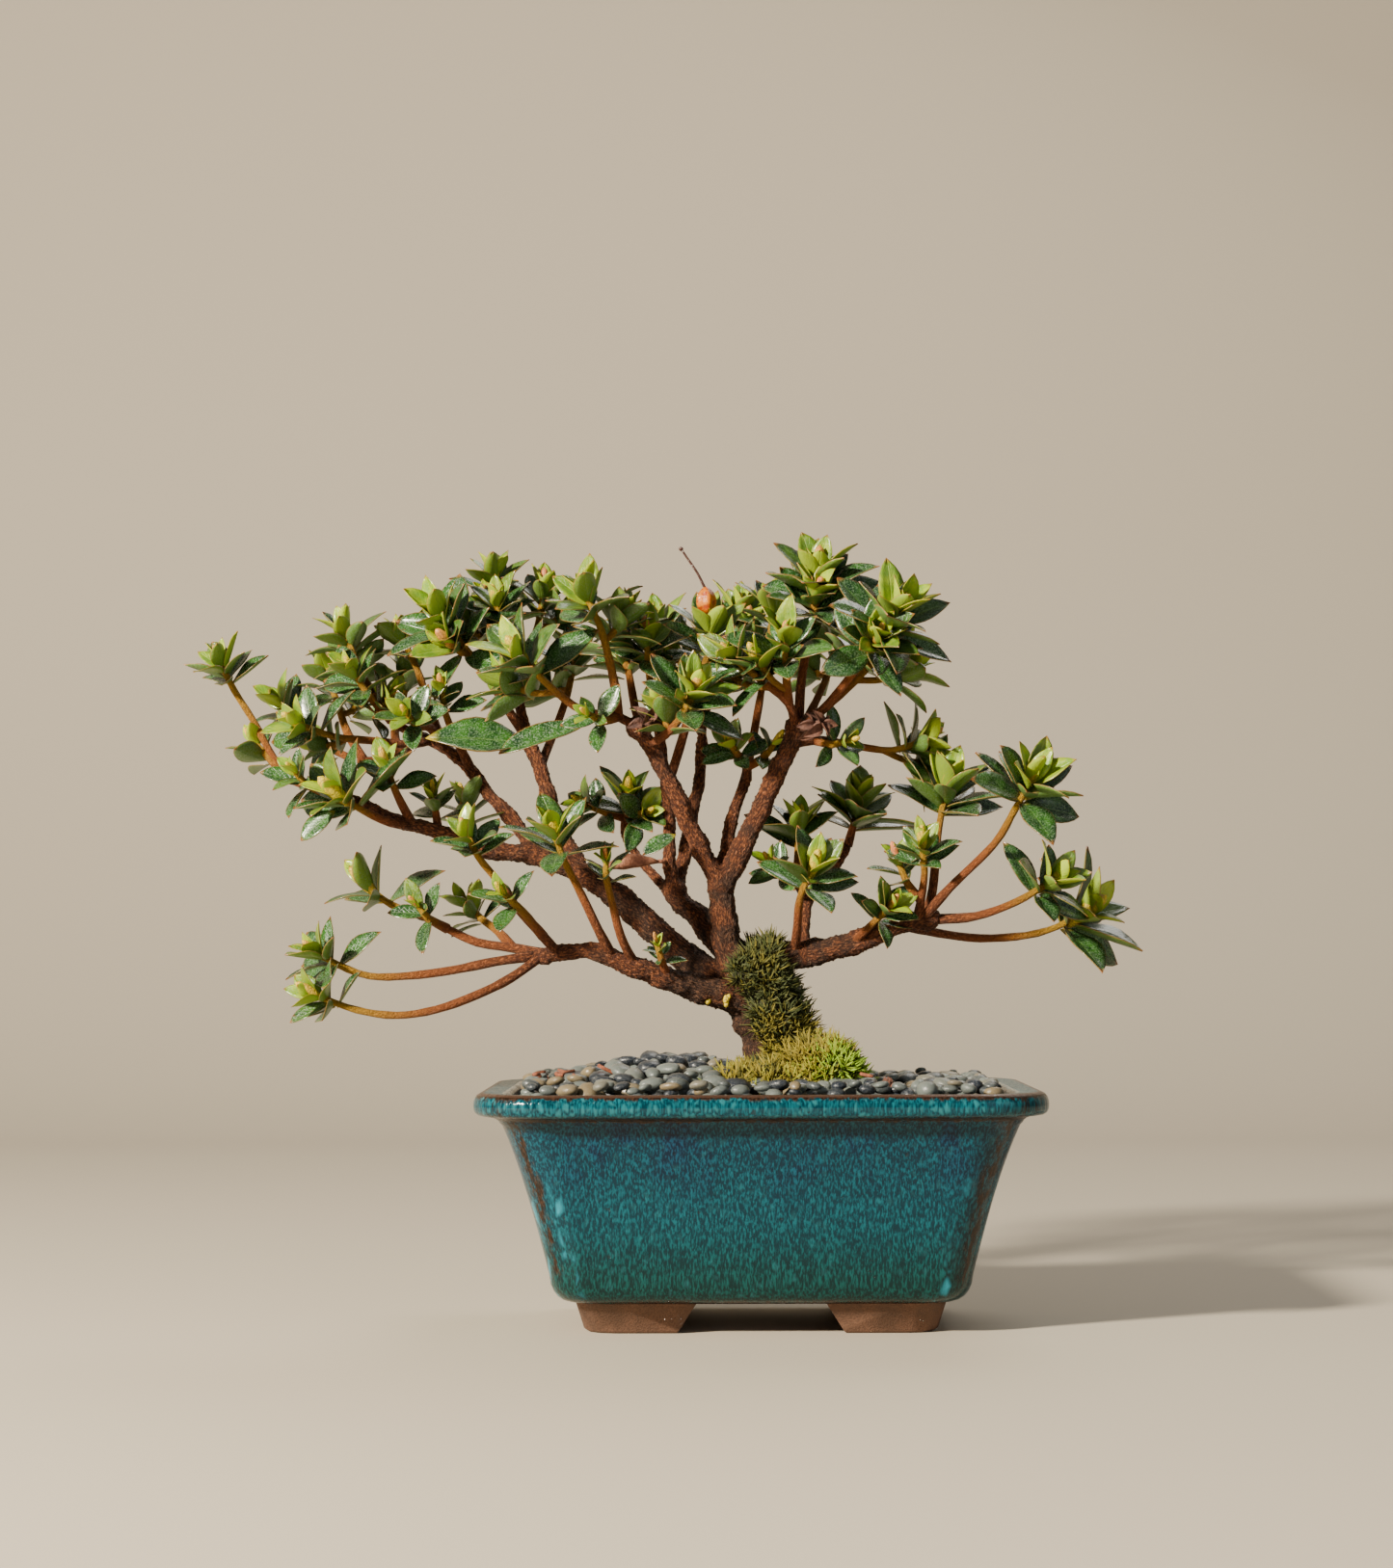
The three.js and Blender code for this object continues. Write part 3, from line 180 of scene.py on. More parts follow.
# Each shoot: its heads, as the points a twig grows through, its longest leaf, and its number of leaves.
# The first twig starts on its limb, and the others start on the first twig.
SHOOTS = {
    "low_left_upper": [
        ([(-82, -20, 134), (-96, -22, 132), (-111, -24, 129), (-127, -26, 127), (-141, -27, 127),
          (-152, -28, 131), (-159, -28, 135)], 18, 8)],
    "low_left_lower": [
        ([(-79, -20, 134), (-90, -27, 126), (-102, -33, 120), (-116, -37, 115), (-130, -39, 113),
          (-144, -40, 115), (-158, -41, 120)], 18, 7)],
    "low_left_middle": [
        ([(-78, -20, 135), (-90, -13, 137), (-103, -12, 139), (-114, -11, 144), (-124, -10, 149),
          (-135, -8, 153), (-143, -6, 159)], 21, 5),
        ([(-114, -11, 144), (-121, -15, 148), (-124, -18, 152)], 14, 5),
        ([(-90, -13, 137), (-96, -3, 143), (-103, 5, 148), (-108, 9, 153)], 15, 8)],
    "low_left_front": [
        ([(-73, -20, 135), (-78, -28, 141), (-86, -34, 150), (-93, -38, 160), (-101, -40, 170),
          (-104, -41, 177)], 16, 8),
        ([(-78, -28, 141), (-85, -37, 150), (-91, -43, 156)], 15, 5)],
    "front_riser_middle": [
        ([(-53, -19, 133), (-58, -27, 143), (-64, -32, 156), (-70, -36, 168), (-73, -38, 177)], 22, 7)],
    "front_riser_right": [
        ([(-45, -17, 130), (-50, -27, 141), (-53, -32, 153), (-55, -35, 162), (-55, -36, 168)], 12, 6)],
    "trunk_sprout": [
        ([(-33, -14, 125), (-35, -21, 131), (-37, -24, 138)], 8, 6)],
    "arm_end": [
        ([(-128, -7, 182), (-135, -14, 183), (-144, -19, 187), (-152, -22, 192)], 26, 7)],
    "arm_riser_outer": [
        ([(-127, -6, 182), (-131, -11, 190), (-134, -14, 197), (-136, -15, 203)], 16, 6)],
    "arm_riser_middle": [
        ([(-118, -4, 180), (-119, -2, 186), (-120, -1, 193)], 13, 6)],
    "arm_riser_inner": [
        ([(-104, 0, 175), (-108, 9, 183), (-110, 14, 191)], 16, 6)],
    "arm_fan": [
        ([(-147, -10, 191), (-157, -5, 194), (-166, -1, 197), (-175, 3, 201), (-182, 5, 211),
          (-188, 6, 222), (-195, 6, 233), (-200, 6, 243)], 17, 9),
        ([(-175, 3, 201), (-182, 5, 208), (-187, 8, 213)], 17, 4),
        ([(-157, -5, 194), (-164, -12, 196), (-169, -17, 201)], 15, 6)],
    "left_crown": [
        ([(-128, 16, 217), (-137, 11, 222), (-144, 6, 230), (-150, 3, 239)], 18, 8),
        ([(-137, 11, 222), (-145, 14, 233), (-151, 18, 245), (-155, 20, 255)], 20, 9)],
    "left_spread": [
        ([(-123, 16, 215), (-131, 9, 213), (-144, 0, 214), (-156, -6, 215), (-168, -11, 219)], 18, 8)],
    "left_back": [
        ([(-125, 16, 216), (-135, 24, 211), (-149, 30, 208), (-162, 34, 213), (-173, 36, 221),
          (-182, 37, 230)], 17, 7),
        ([(-149, 30, 208), (-156, 34, 219), (-160, 37, 230), (-164, 38, 241)], 18, 7),
        ([(-135, 24, 211), (-138, 34, 219), (-136, 43, 230), (-135, 48, 241)], 17, 8)],
    "left_inner": [
        ([(-117, 16, 211), (-122, 9, 219), (-126, -2, 219), (-129, -9, 223)], 15, 7)],
    "left_upright": [
        ([(-114, 16, 209), (-120, 23, 218), (-125, 27, 231), (-129, 29, 243), (-135, 30, 255)], 17, 9)],
    "left_small": [
        ([(-107, 15, 203), (-112, 8, 214), (-116, 3, 224), (-117, 0, 232)], 13, 6)],
    "crown_left_front": [
        ([(-87, 24, 216), (-94, 16, 227), (-102, 10, 240), (-110, 6, 250), (-117, 4, 259)], 23, 8),
        ([(-94, 16, 227), (-95, 8, 231), (-94, 4, 237)], 12, 5)],
    "crown_left_top": [
        ([(-90, 25, 233), (-91, 25, 241), (-95, 20, 253), (-98, 16, 266)], 18, 9),
        ([(-91, 25, 241), (-95, 32, 253), (-99, 35, 266), (-100, 36, 278)], 18, 9),
        ([(-91, 25, 241), (-86, 34, 252), (-83, 39, 263), (-82, 42, 273)], 18, 9)],
    "crown_back_left": [
        ([(-82, 22, 205), (-78, 33, 217), (-73, 45, 233), (-70, 53, 249)], 19, 9)],
    "knot_left": [
        ([(-44, -18, 217), (-51, -21, 221), (-64, -26, 223), (-76, -30, 232), (-85, -33, 241)], 24, 8),
        ([(-51, -21, 221), (-52, -22, 231), (-55, -23, 245), (-58, -24, 255), (-62, -25, 264)], 21, 9),
        ([(-51, -21, 221), (-56, -28, 219), (-61, -34, 221)], 13, 5)],
    "knot_left_front": [
        ([(-40, -17, 211), (-34, -25, 214), (-28, -31, 220), (-24, -34, 228)], 21, 10)],
    "crown_middle_back": [
        ([(-42, -17, 214), (-45, -6, 224), (-48, 6, 240), (-51, 13, 255)], 23, 10)],
    "crown_middle": [
        ([(-36, 9, 213), (-38, 3, 224), (-40, -3, 237), (-41, -6, 250)], 20, 9)],
    "crown_pod": [
        ([(-34, 10, 196), (-29, 4, 211), (-23, -4, 231), (-18, -9, 246), (-18, -10, 253)], 20, 10)],
    "crown_back_middle": [
        ([(-21, 40, 219), (-28, 49, 233), (-33, 55, 248), (-38, 57, 262)], 20, 9)],
    "crown_back_right": [
        ([(-20, 42, 227), (-14, 44, 239), (-9, 44, 252), (-7, 43, 265)], 20, 9)],
    "middle_low": [
        ([(-4, 8, 199), (-4, 5, 204), (-7, 1, 208), (-10, -3, 212)], 13, 7),
        ([(-4, 5, 204), (2, 1, 207), (6, -2, 212)], 13, 4)],
    "crown_middle_right": [
        ([(-9, 5, 187), (-4, 16, 203), (0, 19, 224), (3, 22, 241), (5, 23, 253), (6, 23, 265)], 20, 9)],
    "knot_right_front": [
        ([(14, -12, 217), (11, -20, 226), (1, -23, 234), (-9, -26, 242)], 19, 7),
        ([(11, -20, 226), (10, -26, 238), (10, -29, 247)], 22, 8)],
    "crown_right_top": [
        ([(15, -12, 220), (16, -12, 235), (19, -12, 251), (21, -12, 263), (22, -12, 273)], 23, 11)],
    "crown_right": [
        ([(14, -12, 216), (24, -16, 224), (35, -25, 237), (44, -32, 249), (49, -34, 256)], 24, 13),
        ([(24, -16, 224), (36, -9, 235), (45, -4, 245)], 23, 8)],
    "crown_far_right_back": [
        ([(11, -11, 210), (16, -1, 217), (23, 16, 231), (28, 32, 243), (31, 38, 253)], 21, 9)],
    "right_high": [
        ([(12, -12, 211), (21, -9, 213), (38, 0, 211), (50, 6, 210), (60, 8, 213)], 20, 9),
        ([(21, -9, 213), (27, -14, 211), (32, -16, 212)], 13, 6)],
    "right_twin_back": [
        ([(61, -12, 147), (64, -7, 158), (66, -1, 174), (68, 3, 186), (70, 4, 194)], 25, 11)],
    "right_twin_front": [
        ([(59, -12, 146), (69, -22, 158), (85, -28, 174), (92, -33, 186), (97, -36, 195)], 23, 11)],
    "right_tip_upper": [
        ([(65, -12, 147), (79, -17, 148), (93, -23, 153), (105, -27, 160)], 21, 9)],
    "right_tip_lower": [
        ([(52, -10, 145), (66, -1, 142), (82, 2, 140), (99, 2, 141), (110, 1, 144), (118, 0, 148)], 28, 8)],
    "right_small_pair": [
        ([(58, -12, 147), (59, -18, 154), (60, -24, 164), (59, -27, 173)], 16, 8),
        ([(59, -18, 154), (54, -19, 160), (51, -18, 168)], 13, 6)],
    "right_front": [
        ([(34, -6, 138), (39, -14, 143), (47, -21, 151)], 16, 8)],
    "riser_top": [
        ([(34, 22, 175), (36, 24, 182), (38, 25, 189)], 24, 11)],
    "riser_pair": [
        ([(19, 12, 155), (15, 16, 160), (15, 21, 170), (16, 23, 182)], 20, 8),
        ([(15, 16, 160), (9, 10, 163), (5, 7, 168)], 13, 6)],
    "right_inner": [
        ([(13, -1, 134), (14, -11, 143), (15, -20, 155), (19, -24, 164)], 21, 8)],
    "side_spray": [
        ([(-50, 27, 180), (-50, 25, 186), (-49, 22, 193)], 18, 8),
        ([(-50, 25, 186), (-45, 18, 188), (-42, 14, 187)], 15, 5),
        ([(-50, 25, 186), (-57, 23, 188), (-65, 21, 191)], 14, 6)],
}

# Withered blooms at knotted limb ends: the stub, the longest scale and the number of scales.
BLOOMS = {
    "withered_bloom_left": ([(-43, -18, 215), (-40, -27, 219)], 8, 10),
    "withered_bloom_right": ([(14, -12, 217), (23, -22, 218)], 8.5, 10),
}
# Old leaves left from last year, larger than the rest: base, tip and width.
LONE_LEAVES = [
    ((-121, -24, 213), (-84, -22, 214), 17),
    ((-63, -20, 218), (-94, -24, 206), 10.5),
    ((-154, -22, 187), (-167, -24, 177), 9),
    ((-30, -20, 178), (-42, -22, 170), 7),
]
DRY_LEAF = [(-33, 14, 169), (-37, 8, 169), (-56, 3, 167)]
POD_MIDDLE = (-19, -15, 264)
POD_STYLE = [(-19, -15, 268), (-22, -16, 274), (-26, -16, 280), (-28, -16, 283)]

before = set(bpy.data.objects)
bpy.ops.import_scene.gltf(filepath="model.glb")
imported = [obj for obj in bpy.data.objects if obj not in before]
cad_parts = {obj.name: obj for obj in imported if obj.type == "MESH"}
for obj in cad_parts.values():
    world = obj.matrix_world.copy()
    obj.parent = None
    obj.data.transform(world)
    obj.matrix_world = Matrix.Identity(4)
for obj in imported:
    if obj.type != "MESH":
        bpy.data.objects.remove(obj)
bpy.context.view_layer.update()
pot_low, pot_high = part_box("pot")
POT_MIDDLE = Vector(((pot_low.x + pot_high.x) / 2, (pot_low.y + pot_high.y) / 2, pot_low.z))
TO_ROW = Matrix.Translation(POT_MIDDLE) @ Matrix.Scale(MM, 4)  # from millimetres round the pot


def vectors(points):
    return [Vector(point) for point in points]


def lerp(a, b, share):
    return a + (b - a) * share


# ---- Building with bmesh -------------------------------------------------------------------------
class Build:
    """A mesh being built in millimetres round the pot, with the values its materials read.

    tone is the age or hue of a spot, from 0 to 1, and side tells a leaf's underside, or bare clay together
    with the painted shade in the groove under the rim.
    grain is a spot's place across and along its stem, in millimetres, drawn out along the stem.
    """

    def __init__(self):
        self.bm = bmesh.new()
        self.tone = self.bm.verts.layers.float.new("tone")
        self.side = self.bm.verts.layers.float.new("side")
        self.grain = self.bm.verts.layers.float_vector.new("grain")
        self.uv = self.bm.loops.layers.uv.new("UVMap")

    def paint(self, verts, tone):
        for vert in verts:
            vert[self.tone] = tone

    def as_template(self, name):
        """The small mesh built so far, ready to be stamped into a larger piece."""
        bmesh.ops.recalc_face_normals(self.bm, faces=self.bm.faces)
        mesh = bpy.data.meshes.new(name)
        self.bm.to_mesh(mesh)
        self.bm.free()
        return mesh

    def stamp(self, template, place, tone=None):
        """Adds a copy of a template, moved by a matrix, with its own tone."""
        copy = template.copy()
        copy.transform(place)
        if tone is not None:
            copy.attributes["tone"].data.foreach_set("value", [tone] * len(copy.vertices))
        self.bm.from_mesh(copy)
        bpy.data.meshes.remove(copy)

    def finish(self, name, materials, replaced=(), recalculate=True):
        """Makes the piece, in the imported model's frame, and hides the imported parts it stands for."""
        bm = self.bm
        if recalculate:
            bmesh.ops.recalc_face_normals(bm, faces=bm.faces)
        for face in bm.faces:
            face.smooth = True
        bmesh.ops.transform(bm, matrix=TO_ROW, verts=bm.verts)
        mesh = bpy.data.meshes.new(name)
        bm.to_mesh(mesh)
        bm.free()
        for material in materials:
            mesh.materials.append(material)
        return show(name, mesh, replaced)


def show(name, mesh, replaced=()):
    piece = bpy.data.objects.new(name, mesh)
    bpy.context.scene.collection.objects.link(piece)
    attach(piece, "root")
    if replaced:
        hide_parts(*replaced)
    return piece


def verts_of(geometry):
    return [item for item in geometry if isinstance(item, bmesh.types.BMVert)]


def edges_of(geometry):
    return [item for item in geometry if isinstance(item, bmesh.types.BMEdge)]


def faces_of(geometry):
    return [item for item in geometry if isinstance(item, bmesh.types.BMFace)]


def smooth_path(points, spacing):
    """Points about a spacing apart on the smooth curve through the given ones."""
    points = vectors(points)
    padded = [points[0] * 2 - points[1], *points, points[-1] * 2 - points[-2]]
    path = []
    for a, b, c, d in zip(padded, padded[1:], padded[2:], padded[3:]):
        steps = max(1, round((c - b).length / spacing))
        for step in range(steps):
            t = step / steps
            path.append(0.5 * (2 * b + (c - a) * t + (2 * a - 5 * b + 4 * c - d) * t**2
                               + (3 * b - a - 3 * c + d) * t**3))
    path.append(points[-1])
    return path


def frames(path):
    """The turn of a cross-section at each point of a path, and how far along the path it lies."""
    tangents = [(after - before).normalized() for before, after in
                zip([path[0], *path[:-1]], [*path[1:], path[-1]])]
    turn = tangents[0].to_track_quat("Z", "Y")
    made = [(turn, 0.0)]
    for i in range(1, len(path)):
        turn = tangents[i - 1].rotation_difference(tangents[i]) @ turn
        made.append((turn, made[-1][1] + (path[i] - path[i - 1]).length))
    return made


def grain_at(spot, point, turn, along):
    across = turn.inverted() @ (spot - point)
    return Vector((across.x, across.y, (along + across.z) * GRAIN_STRETCH))


def sweep(build, path, radii, sides, tones=None, material=0):
    """A closed tube along a path, as a circle extruded from point to point."""
    bm = build.bm
    turns = frames(path)
    places = [Matrix.LocRotScale(point, turn, Vector((radius, radius, radius)))
              for point, radius, (turn, _) in zip(path, radii, turns)]
    ring = bmesh.ops.create_circle(bm, cap_ends=True, segments=sides, radius=1, matrix=places[0])["verts"]
    faces = {face for vert in ring for face in vert.link_faces}
    edges = list({edge for vert in ring for edge in vert.link_edges})
    every = list(ring)
    build.paint(ring, tones[0] if tones else 0)
    for vert in ring:
        vert[build.grain] = grain_at(vert.co, path[0], *turns[0])
    for i in range(1, len(places)):
        made = bmesh.ops.extrude_edge_only(bm, edges=edges)["geom"]
        ring = verts_of(made)
        edges = [edge for edge in edges_of(made) if all(vert in ring for vert in edge.verts)]
        bmesh.ops.transform(bm, matrix=places[i] @ places[i - 1].inverted(), verts=ring)
        build.paint(ring, tones[i] if tones else 0)
        for vert in ring:
            vert[build.grain] = grain_at(vert.co, path[i], *turns[i])
        faces.update(faces_of(made))
        every += ring
    faces.update(bmesh.ops.edgeloop_fill(bm, edges=edges)["faces"])
    for face in faces:
        face.material_index = material
    return every


def whole_of(verts):
    """The vertices with all their edges and faces."""
    edges = {edge for vert in verts for edge in vert.link_edges}
    faces = {face for vert in verts for face in vert.link_faces}
    return [*verts, *edges, *faces]


def soften(bm, rounds):
    for _ in range(rounds):
        bmesh.ops.smooth_vert(
            bm, verts=bm.verts, factor=0.5, use_axis_x=True, use_axis_y=True, use_axis_z=True)


def chance(a, b):
    """A repeatable number from 0 to 1 for each pair."""
    value = math.sin(a * 127.1 + b * 311.7 + 1.3) * 43758.5453
    return value - math.floor(value)


# ---- Materials -----------------------------------------------------------------------------------
class Nodes:
    """A material or node group being wired up."""

    def __init__(self, tree):
        self.tree = tree

    def add(self, kind, inputs=None, **settings):
        made = self.tree.nodes.new(kind)
        for key, value in settings.items():
            setattr(made, key, value)
        for key, value in (inputs or {}).items():
            if isinstance(value, bpy.types.NodeSocket):
                self.tree.links.new(value, made.inputs[key])
            else:
                made.inputs[key].default_value = value
        return made

    def math(self, operation, a, b=0.0):
        return self.add("ShaderNodeMath", {0: a, 1: b}, operation=operation).outputs[0]

    def times(self, a, b):
        return self.math("MULTIPLY", a, b)

    def plus(self, a, b):
        return self.math("ADD", a, b)

    def minus(self, a, b):
        return self.math("SUBTRACT", a, b)

    def larger(self, a, b):
        return self.math("MAXIMUM", a, b)

    def mix(self, share, a, b, blend="MIX"):
        made = self.add("ShaderNodeMix", data_type="RGBA", blend_type=blend)
        for index, value in ((0, share), (6, a), (7, b)):
            if isinstance(value, bpy.types.NodeSocket):
                self.tree.links.new(value, made.inputs[index])
            else:
                made.inputs[index].default_value = value
        return made.outputs[2]

    def ramp(self, value, low, high, to_low=0.0, to_high=1.0):
        """A value between two limits, spread over 0 to 1 and held there."""
        inputs = {"Value": value, "From Min": low, "From Max": high, "To Min": to_low, "To Max": to_high}
        return self.add("ShaderNodeMapRange", inputs, interpolation_type="SMOOTHSTEP").outputs[0]

    def attribute(self, name):
        return self.add("ShaderNodeAttribute", attribute_name=name).outputs["Fac"]

    def place(self, scale=(1, 1, 1), turn=(0, 0, 0)):
        where = self.add("ShaderNodeTexCoord").outputs["Object"]
        return self.add("ShaderNodeMapping", {"Vector": where, "Scale": scale, "Rotation": turn}).outputs[0]


def linear(red, green, blue):
    """An opaque colour in linear light."""
    return (red, green, blue, 1)


def new_group(name, inputs, outputs):
    group = bpy.data.node_groups.new(name, "ShaderNodeTree")
    for socket, kind, value in inputs:
        made = group.interface.new_socket(socket, in_out="INPUT", socket_type=kind)
        if value is not None:
            made.default_value = value
    for socket, kind in outputs:
        group.interface.new_socket(socket, in_out="OUTPUT", socket_type=kind)
    nodes = Nodes(group)
    return group, nodes, nodes.add("NodeGroupInput").outputs, nodes.add("NodeGroupOutput")


def mottle_group():
    """Soft cloudy patches, as a mask from 0 to 1."""
    group, nodes, given, out = new_group(
        "mottle",
        [("Vector", "NodeSocketVector", None), ("Scale", "NodeSocketFloat", 100.0),
         ("Detail", "NodeSocketFloat", 4.0), ("Low", "NodeSocketFloat", 0.4),
         ("High", "NodeSocketFloat", 0.6)],
        [("Mask", "NodeSocketFloat")])
    cloud = nodes.add("ShaderNodeTexNoise", {
        "Vector": given["Vector"], "Scale": given["Scale"], "Detail": given["Detail"], "Roughness": 0.6})
    mask = nodes.ramp(cloud.outputs["Fac"], given["Low"], given["High"])
    group.links.new(mask, out.inputs["Mask"])
    return group


def cells_group():
    """Round cells with dark borders: the border's mask, the cell's own number, and both as a height."""
    group, nodes, given, out = new_group(
        "cells",
        [("Vector", "NodeSocketVector", None), ("Scale", "NodeSocketFloat", 100.0),
         ("Border", "NodeSocketFloat", 0.1)],
        [("Border", "NodeSocketFloat"), ("Number", "NodeSocketFloat"), ("Height", "NodeSocketFloat")])
    edge = nodes.add("ShaderNodeTexVoronoi", {"Vector": given["Vector"], "Scale": given["Scale"]},
                     feature="DISTANCE_TO_EDGE")
    cell = nodes.add("ShaderNodeTexVoronoi", {"Vector": given["Vector"], "Scale": given["Scale"]})
    border = nodes.ramp(edge.outputs["Distance"], 0.0, given["Border"], 1.0, 0.0)
    number = nodes.add("ShaderNodeSeparateColor", {"Color": cell.outputs["Color"]}).outputs[0]
    group.links.new(border, out.inputs["Border"])
    group.links.new(number, out.inputs["Number"])
    group.links.new(nodes.minus(1.0, border), out.inputs["Height"])
    return group


MOTTLE = mottle_group()
CELLS = cells_group()


def mottle(nodes, vector, scale, low=0.4, high=0.6, detail=4.0):
    """Patches of a size set by scale, kept where the cloud passes from low to high."""
    made = nodes.add("ShaderNodeGroup", node_tree=MOTTLE)
    for key, value in (("Scale", scale), ("Detail", detail), ("Low", low), ("High", high)):
        made.inputs[key].default_value = value
    nodes.tree.links.new(vector, made.inputs["Vector"])
    return made.outputs["Mask"]


def cells(nodes, vector, scale, border=0.1):
    """Cells of a size set by scale, with borders of a share of their width."""
    made = nodes.add("ShaderNodeGroup", node_tree=CELLS)
    made.inputs["Scale"].default_value = scale
    made.inputs["Border"].default_value = border
    nodes.tree.links.new(vector, made.inputs["Vector"])
    return made.outputs


def new_material(name, **plain):
    """A material with one Principled shader; plain values go straight on its sockets."""
    material = bpy.data.materials.new(name)
    material.use_nodes = True
    nodes = Nodes(material.node_tree)
    shader = material.node_tree.nodes["Principled BSDF"]
    for key, value in plain.items():
        shader.inputs[key.replace("_", " ")].default_value = value
    return material, nodes, shader


def wire(nodes, shader, colour=None, roughness=None, height=None, bump=0.5, depth=0.5):
    """Feeds the shader's colour, roughness and normal; depth is the relief in millimetres."""
    link = nodes.tree.links.new
    if colour is not None:
        link(colour, shader.inputs["Base Color"])
    if roughness is not None:
        link(roughness, shader.inputs["Roughness"])
    if height is not None:
        inputs = {"Strength": bump, "Distance": depth * MM, "Height": height}
        link(nodes.add("ShaderNodeBump", inputs).outputs[0], shader.inputs["Normal"])


def glaze_material():
    """Deep turquoise glaze: fine runs down the wall, blue where thick, brown where it is broken over edges
    and in the groove under the rim, where the brown is painted shade.
    """
    material, nodes, shader = new_material(
        "turquoise glaze", Coat_Weight=0.2, Coat_Roughness=0.05, Specular_IOR_Level=0.2)
    deep_teal, bright_teal = linear(0.0005, 0.020, 0.032), linear(0.002, 0.092, 0.120)
    run_teal, rim_turquoise = linear(0.001, 0.030, 0.046), linear(0.025, 0.170, 0.195)
    deep_green, pool_green = linear(0.0003, 0.013, 0.011), linear(0.001, 0.050, 0.040)
    deep_blue, violet_blue = linear(0.001, 0.007, 0.024), linear(0.004, 0.042, 0.092)
    bead_blue, pit_grey = linear(0.02, 0.27, 0.36), linear(0.012, 0.018, 0.022)
    dark_brown, rust_brown = linear(0.008, 0.004, 0.002), linear(0.042, 0.019, 0.010)

    where = nodes.place()
    height = nodes.add("ShaderNodeSeparateXYZ", {0: where}).outputs[2]
    fine = mottle(nodes, nodes.place((1, 1, 0.11)), 1500, 0.42, 0.66, 2)
    runs = mottle(nodes, nodes.place((1, 1, 0.16)), 420, 0.36, 0.64, 3)
    broad = mottle(nodes, nodes.place((1, 1, 0.5)), 45, 0.38, 0.66)
    rim_only = nodes.ramp(height, RIM_BOTTOM * MM, (RIM_BOTTOM + 2) * MM)
    base = nodes.mix(fine, deep_teal, bright_teal)
    base = nodes.mix(nodes.times(runs, 0.3), base, run_teal)
    # greener towards the foot, where it pooled
    green = nodes.ramp(height, 0.014, 0.046, 0.85, 0.0)
    base = nodes.mix(green, base, nodes.mix(fine, deep_green, pool_green))
    # bluer up the wall, in cloudy patches
    blue = nodes.times(nodes.ramp(height, 0.040, 0.072), nodes.ramp(broad, 0.1, 0.8, 0.35, 0.9))
    blue = nodes.times(blue, nodes.minus(1.0, rim_only))
    base = nodes.mix(blue, base, nodes.mix(fine, deep_blue, violet_blue))
    # turquoise drops, crowded on the rim and rare on the wall
    drops = cells(nodes, nodes.place((1, 1, 0.6)), 480, 0.35)
    flecks = nodes.times(nodes.ramp(drops["Number"], 0.80, 0.92), drops["Height"])
    flecks = nodes.larger(nodes.times(flecks, 0.16), nodes.times(rim_only, nodes.times(
        drops["Height"], nodes.ramp(drops["Number"], 0.1, 0.9, 0.1, 0.6))))
    base = nodes.mix(flecks, base, rim_turquoise)
    # larger beads beside the crest of each corner
    corner = nodes.attribute("tone")
    big = cells(nodes, nodes.place((1, 1, 0.5)), 200, 0.3)
    drip = nodes.times(nodes.ramp(corner, 0.1, 0.45), nodes.ramp(corner, 0.45, 0.75, 1.0, 0.0))
    drip = nodes.times(drip, nodes.ramp(big["Number"], 0.2, 0.4))
    low_only = nodes.ramp(height, 0.040, 0.062, 1.0, 0.0)
    drip = nodes.times(nodes.times(drip, big["Height"]), low_only)
    base = nodes.mix(nodes.times(drip, 0.85), base, bead_blue)
    # brown where the glaze is broken over an edge, and in the groove under the rim as painted shade, with a
    # ragged border
    bare = nodes.attribute("side")
    ragged = nodes.plus(bare, nodes.times(nodes.minus(broad, 0.5), 0.25))
    ragged = nodes.plus(ragged, nodes.times(nodes.minus(runs, 0.5), 0.5))
    glaze_break_and_groove_shade = nodes.ramp(ragged, 0.45, 0.85)
    colour = nodes.mix(glaze_break_and_groove_shade, base, nodes.mix(fine, dark_brown, rust_brown))
    pits = mottle(nodes, where, 210, 0.72, 0.75, 2)
    colour = nodes.mix(nodes.times(pits, 0.6), colour, pit_grey)
    rough = nodes.plus(0.10, nodes.times(glaze_break_and_groove_shade, 0.25))
    rough = nodes.plus(rough, nodes.times(fine, 0.08))
    relief = nodes.plus(nodes.times(broad, 1.2), nodes.times(fine, 0.12))
    relief = nodes.plus(relief, nodes.times(flecks, 0.3))
    relief = nodes.minus(relief, pits)
    wire(nodes, shader, colour, rough, relief, 0.5, 0.5)
    return material


def lip_material():
    """The rim's flat top: the same glaze, grey-blue and worn to a satin."""
    material, nodes, shader = new_material("satin lip glaze", IOR=1.5)
    slate, pale_slate = linear(0.014, 0.034, 0.042), linear(0.040, 0.080, 0.092)
    teal, worn_brown = linear(0.008, 0.10, 0.12), linear(0.045, 0.020, 0.012)
    where = nodes.place()
    patches = mottle(nodes, where, 110, 0.35, 0.65)
    fine = mottle(nodes, where, 900, 0.4, 0.6)
    colour = nodes.mix(patches, slate, pale_slate)
    colour = nodes.mix(nodes.times(fine, 0.35), colour, teal)
    edge = nodes.ramp(nodes.plus(nodes.attribute("side"), nodes.times(patches, 0.2)), 0.5, 0.9)
    colour = nodes.mix(edge, colour, worn_brown)
    wire(nodes, shader, colour, nodes.ramp(fine, 0, 1, 0.3, 0.48), patches, 0.3, 0.3)
    return material


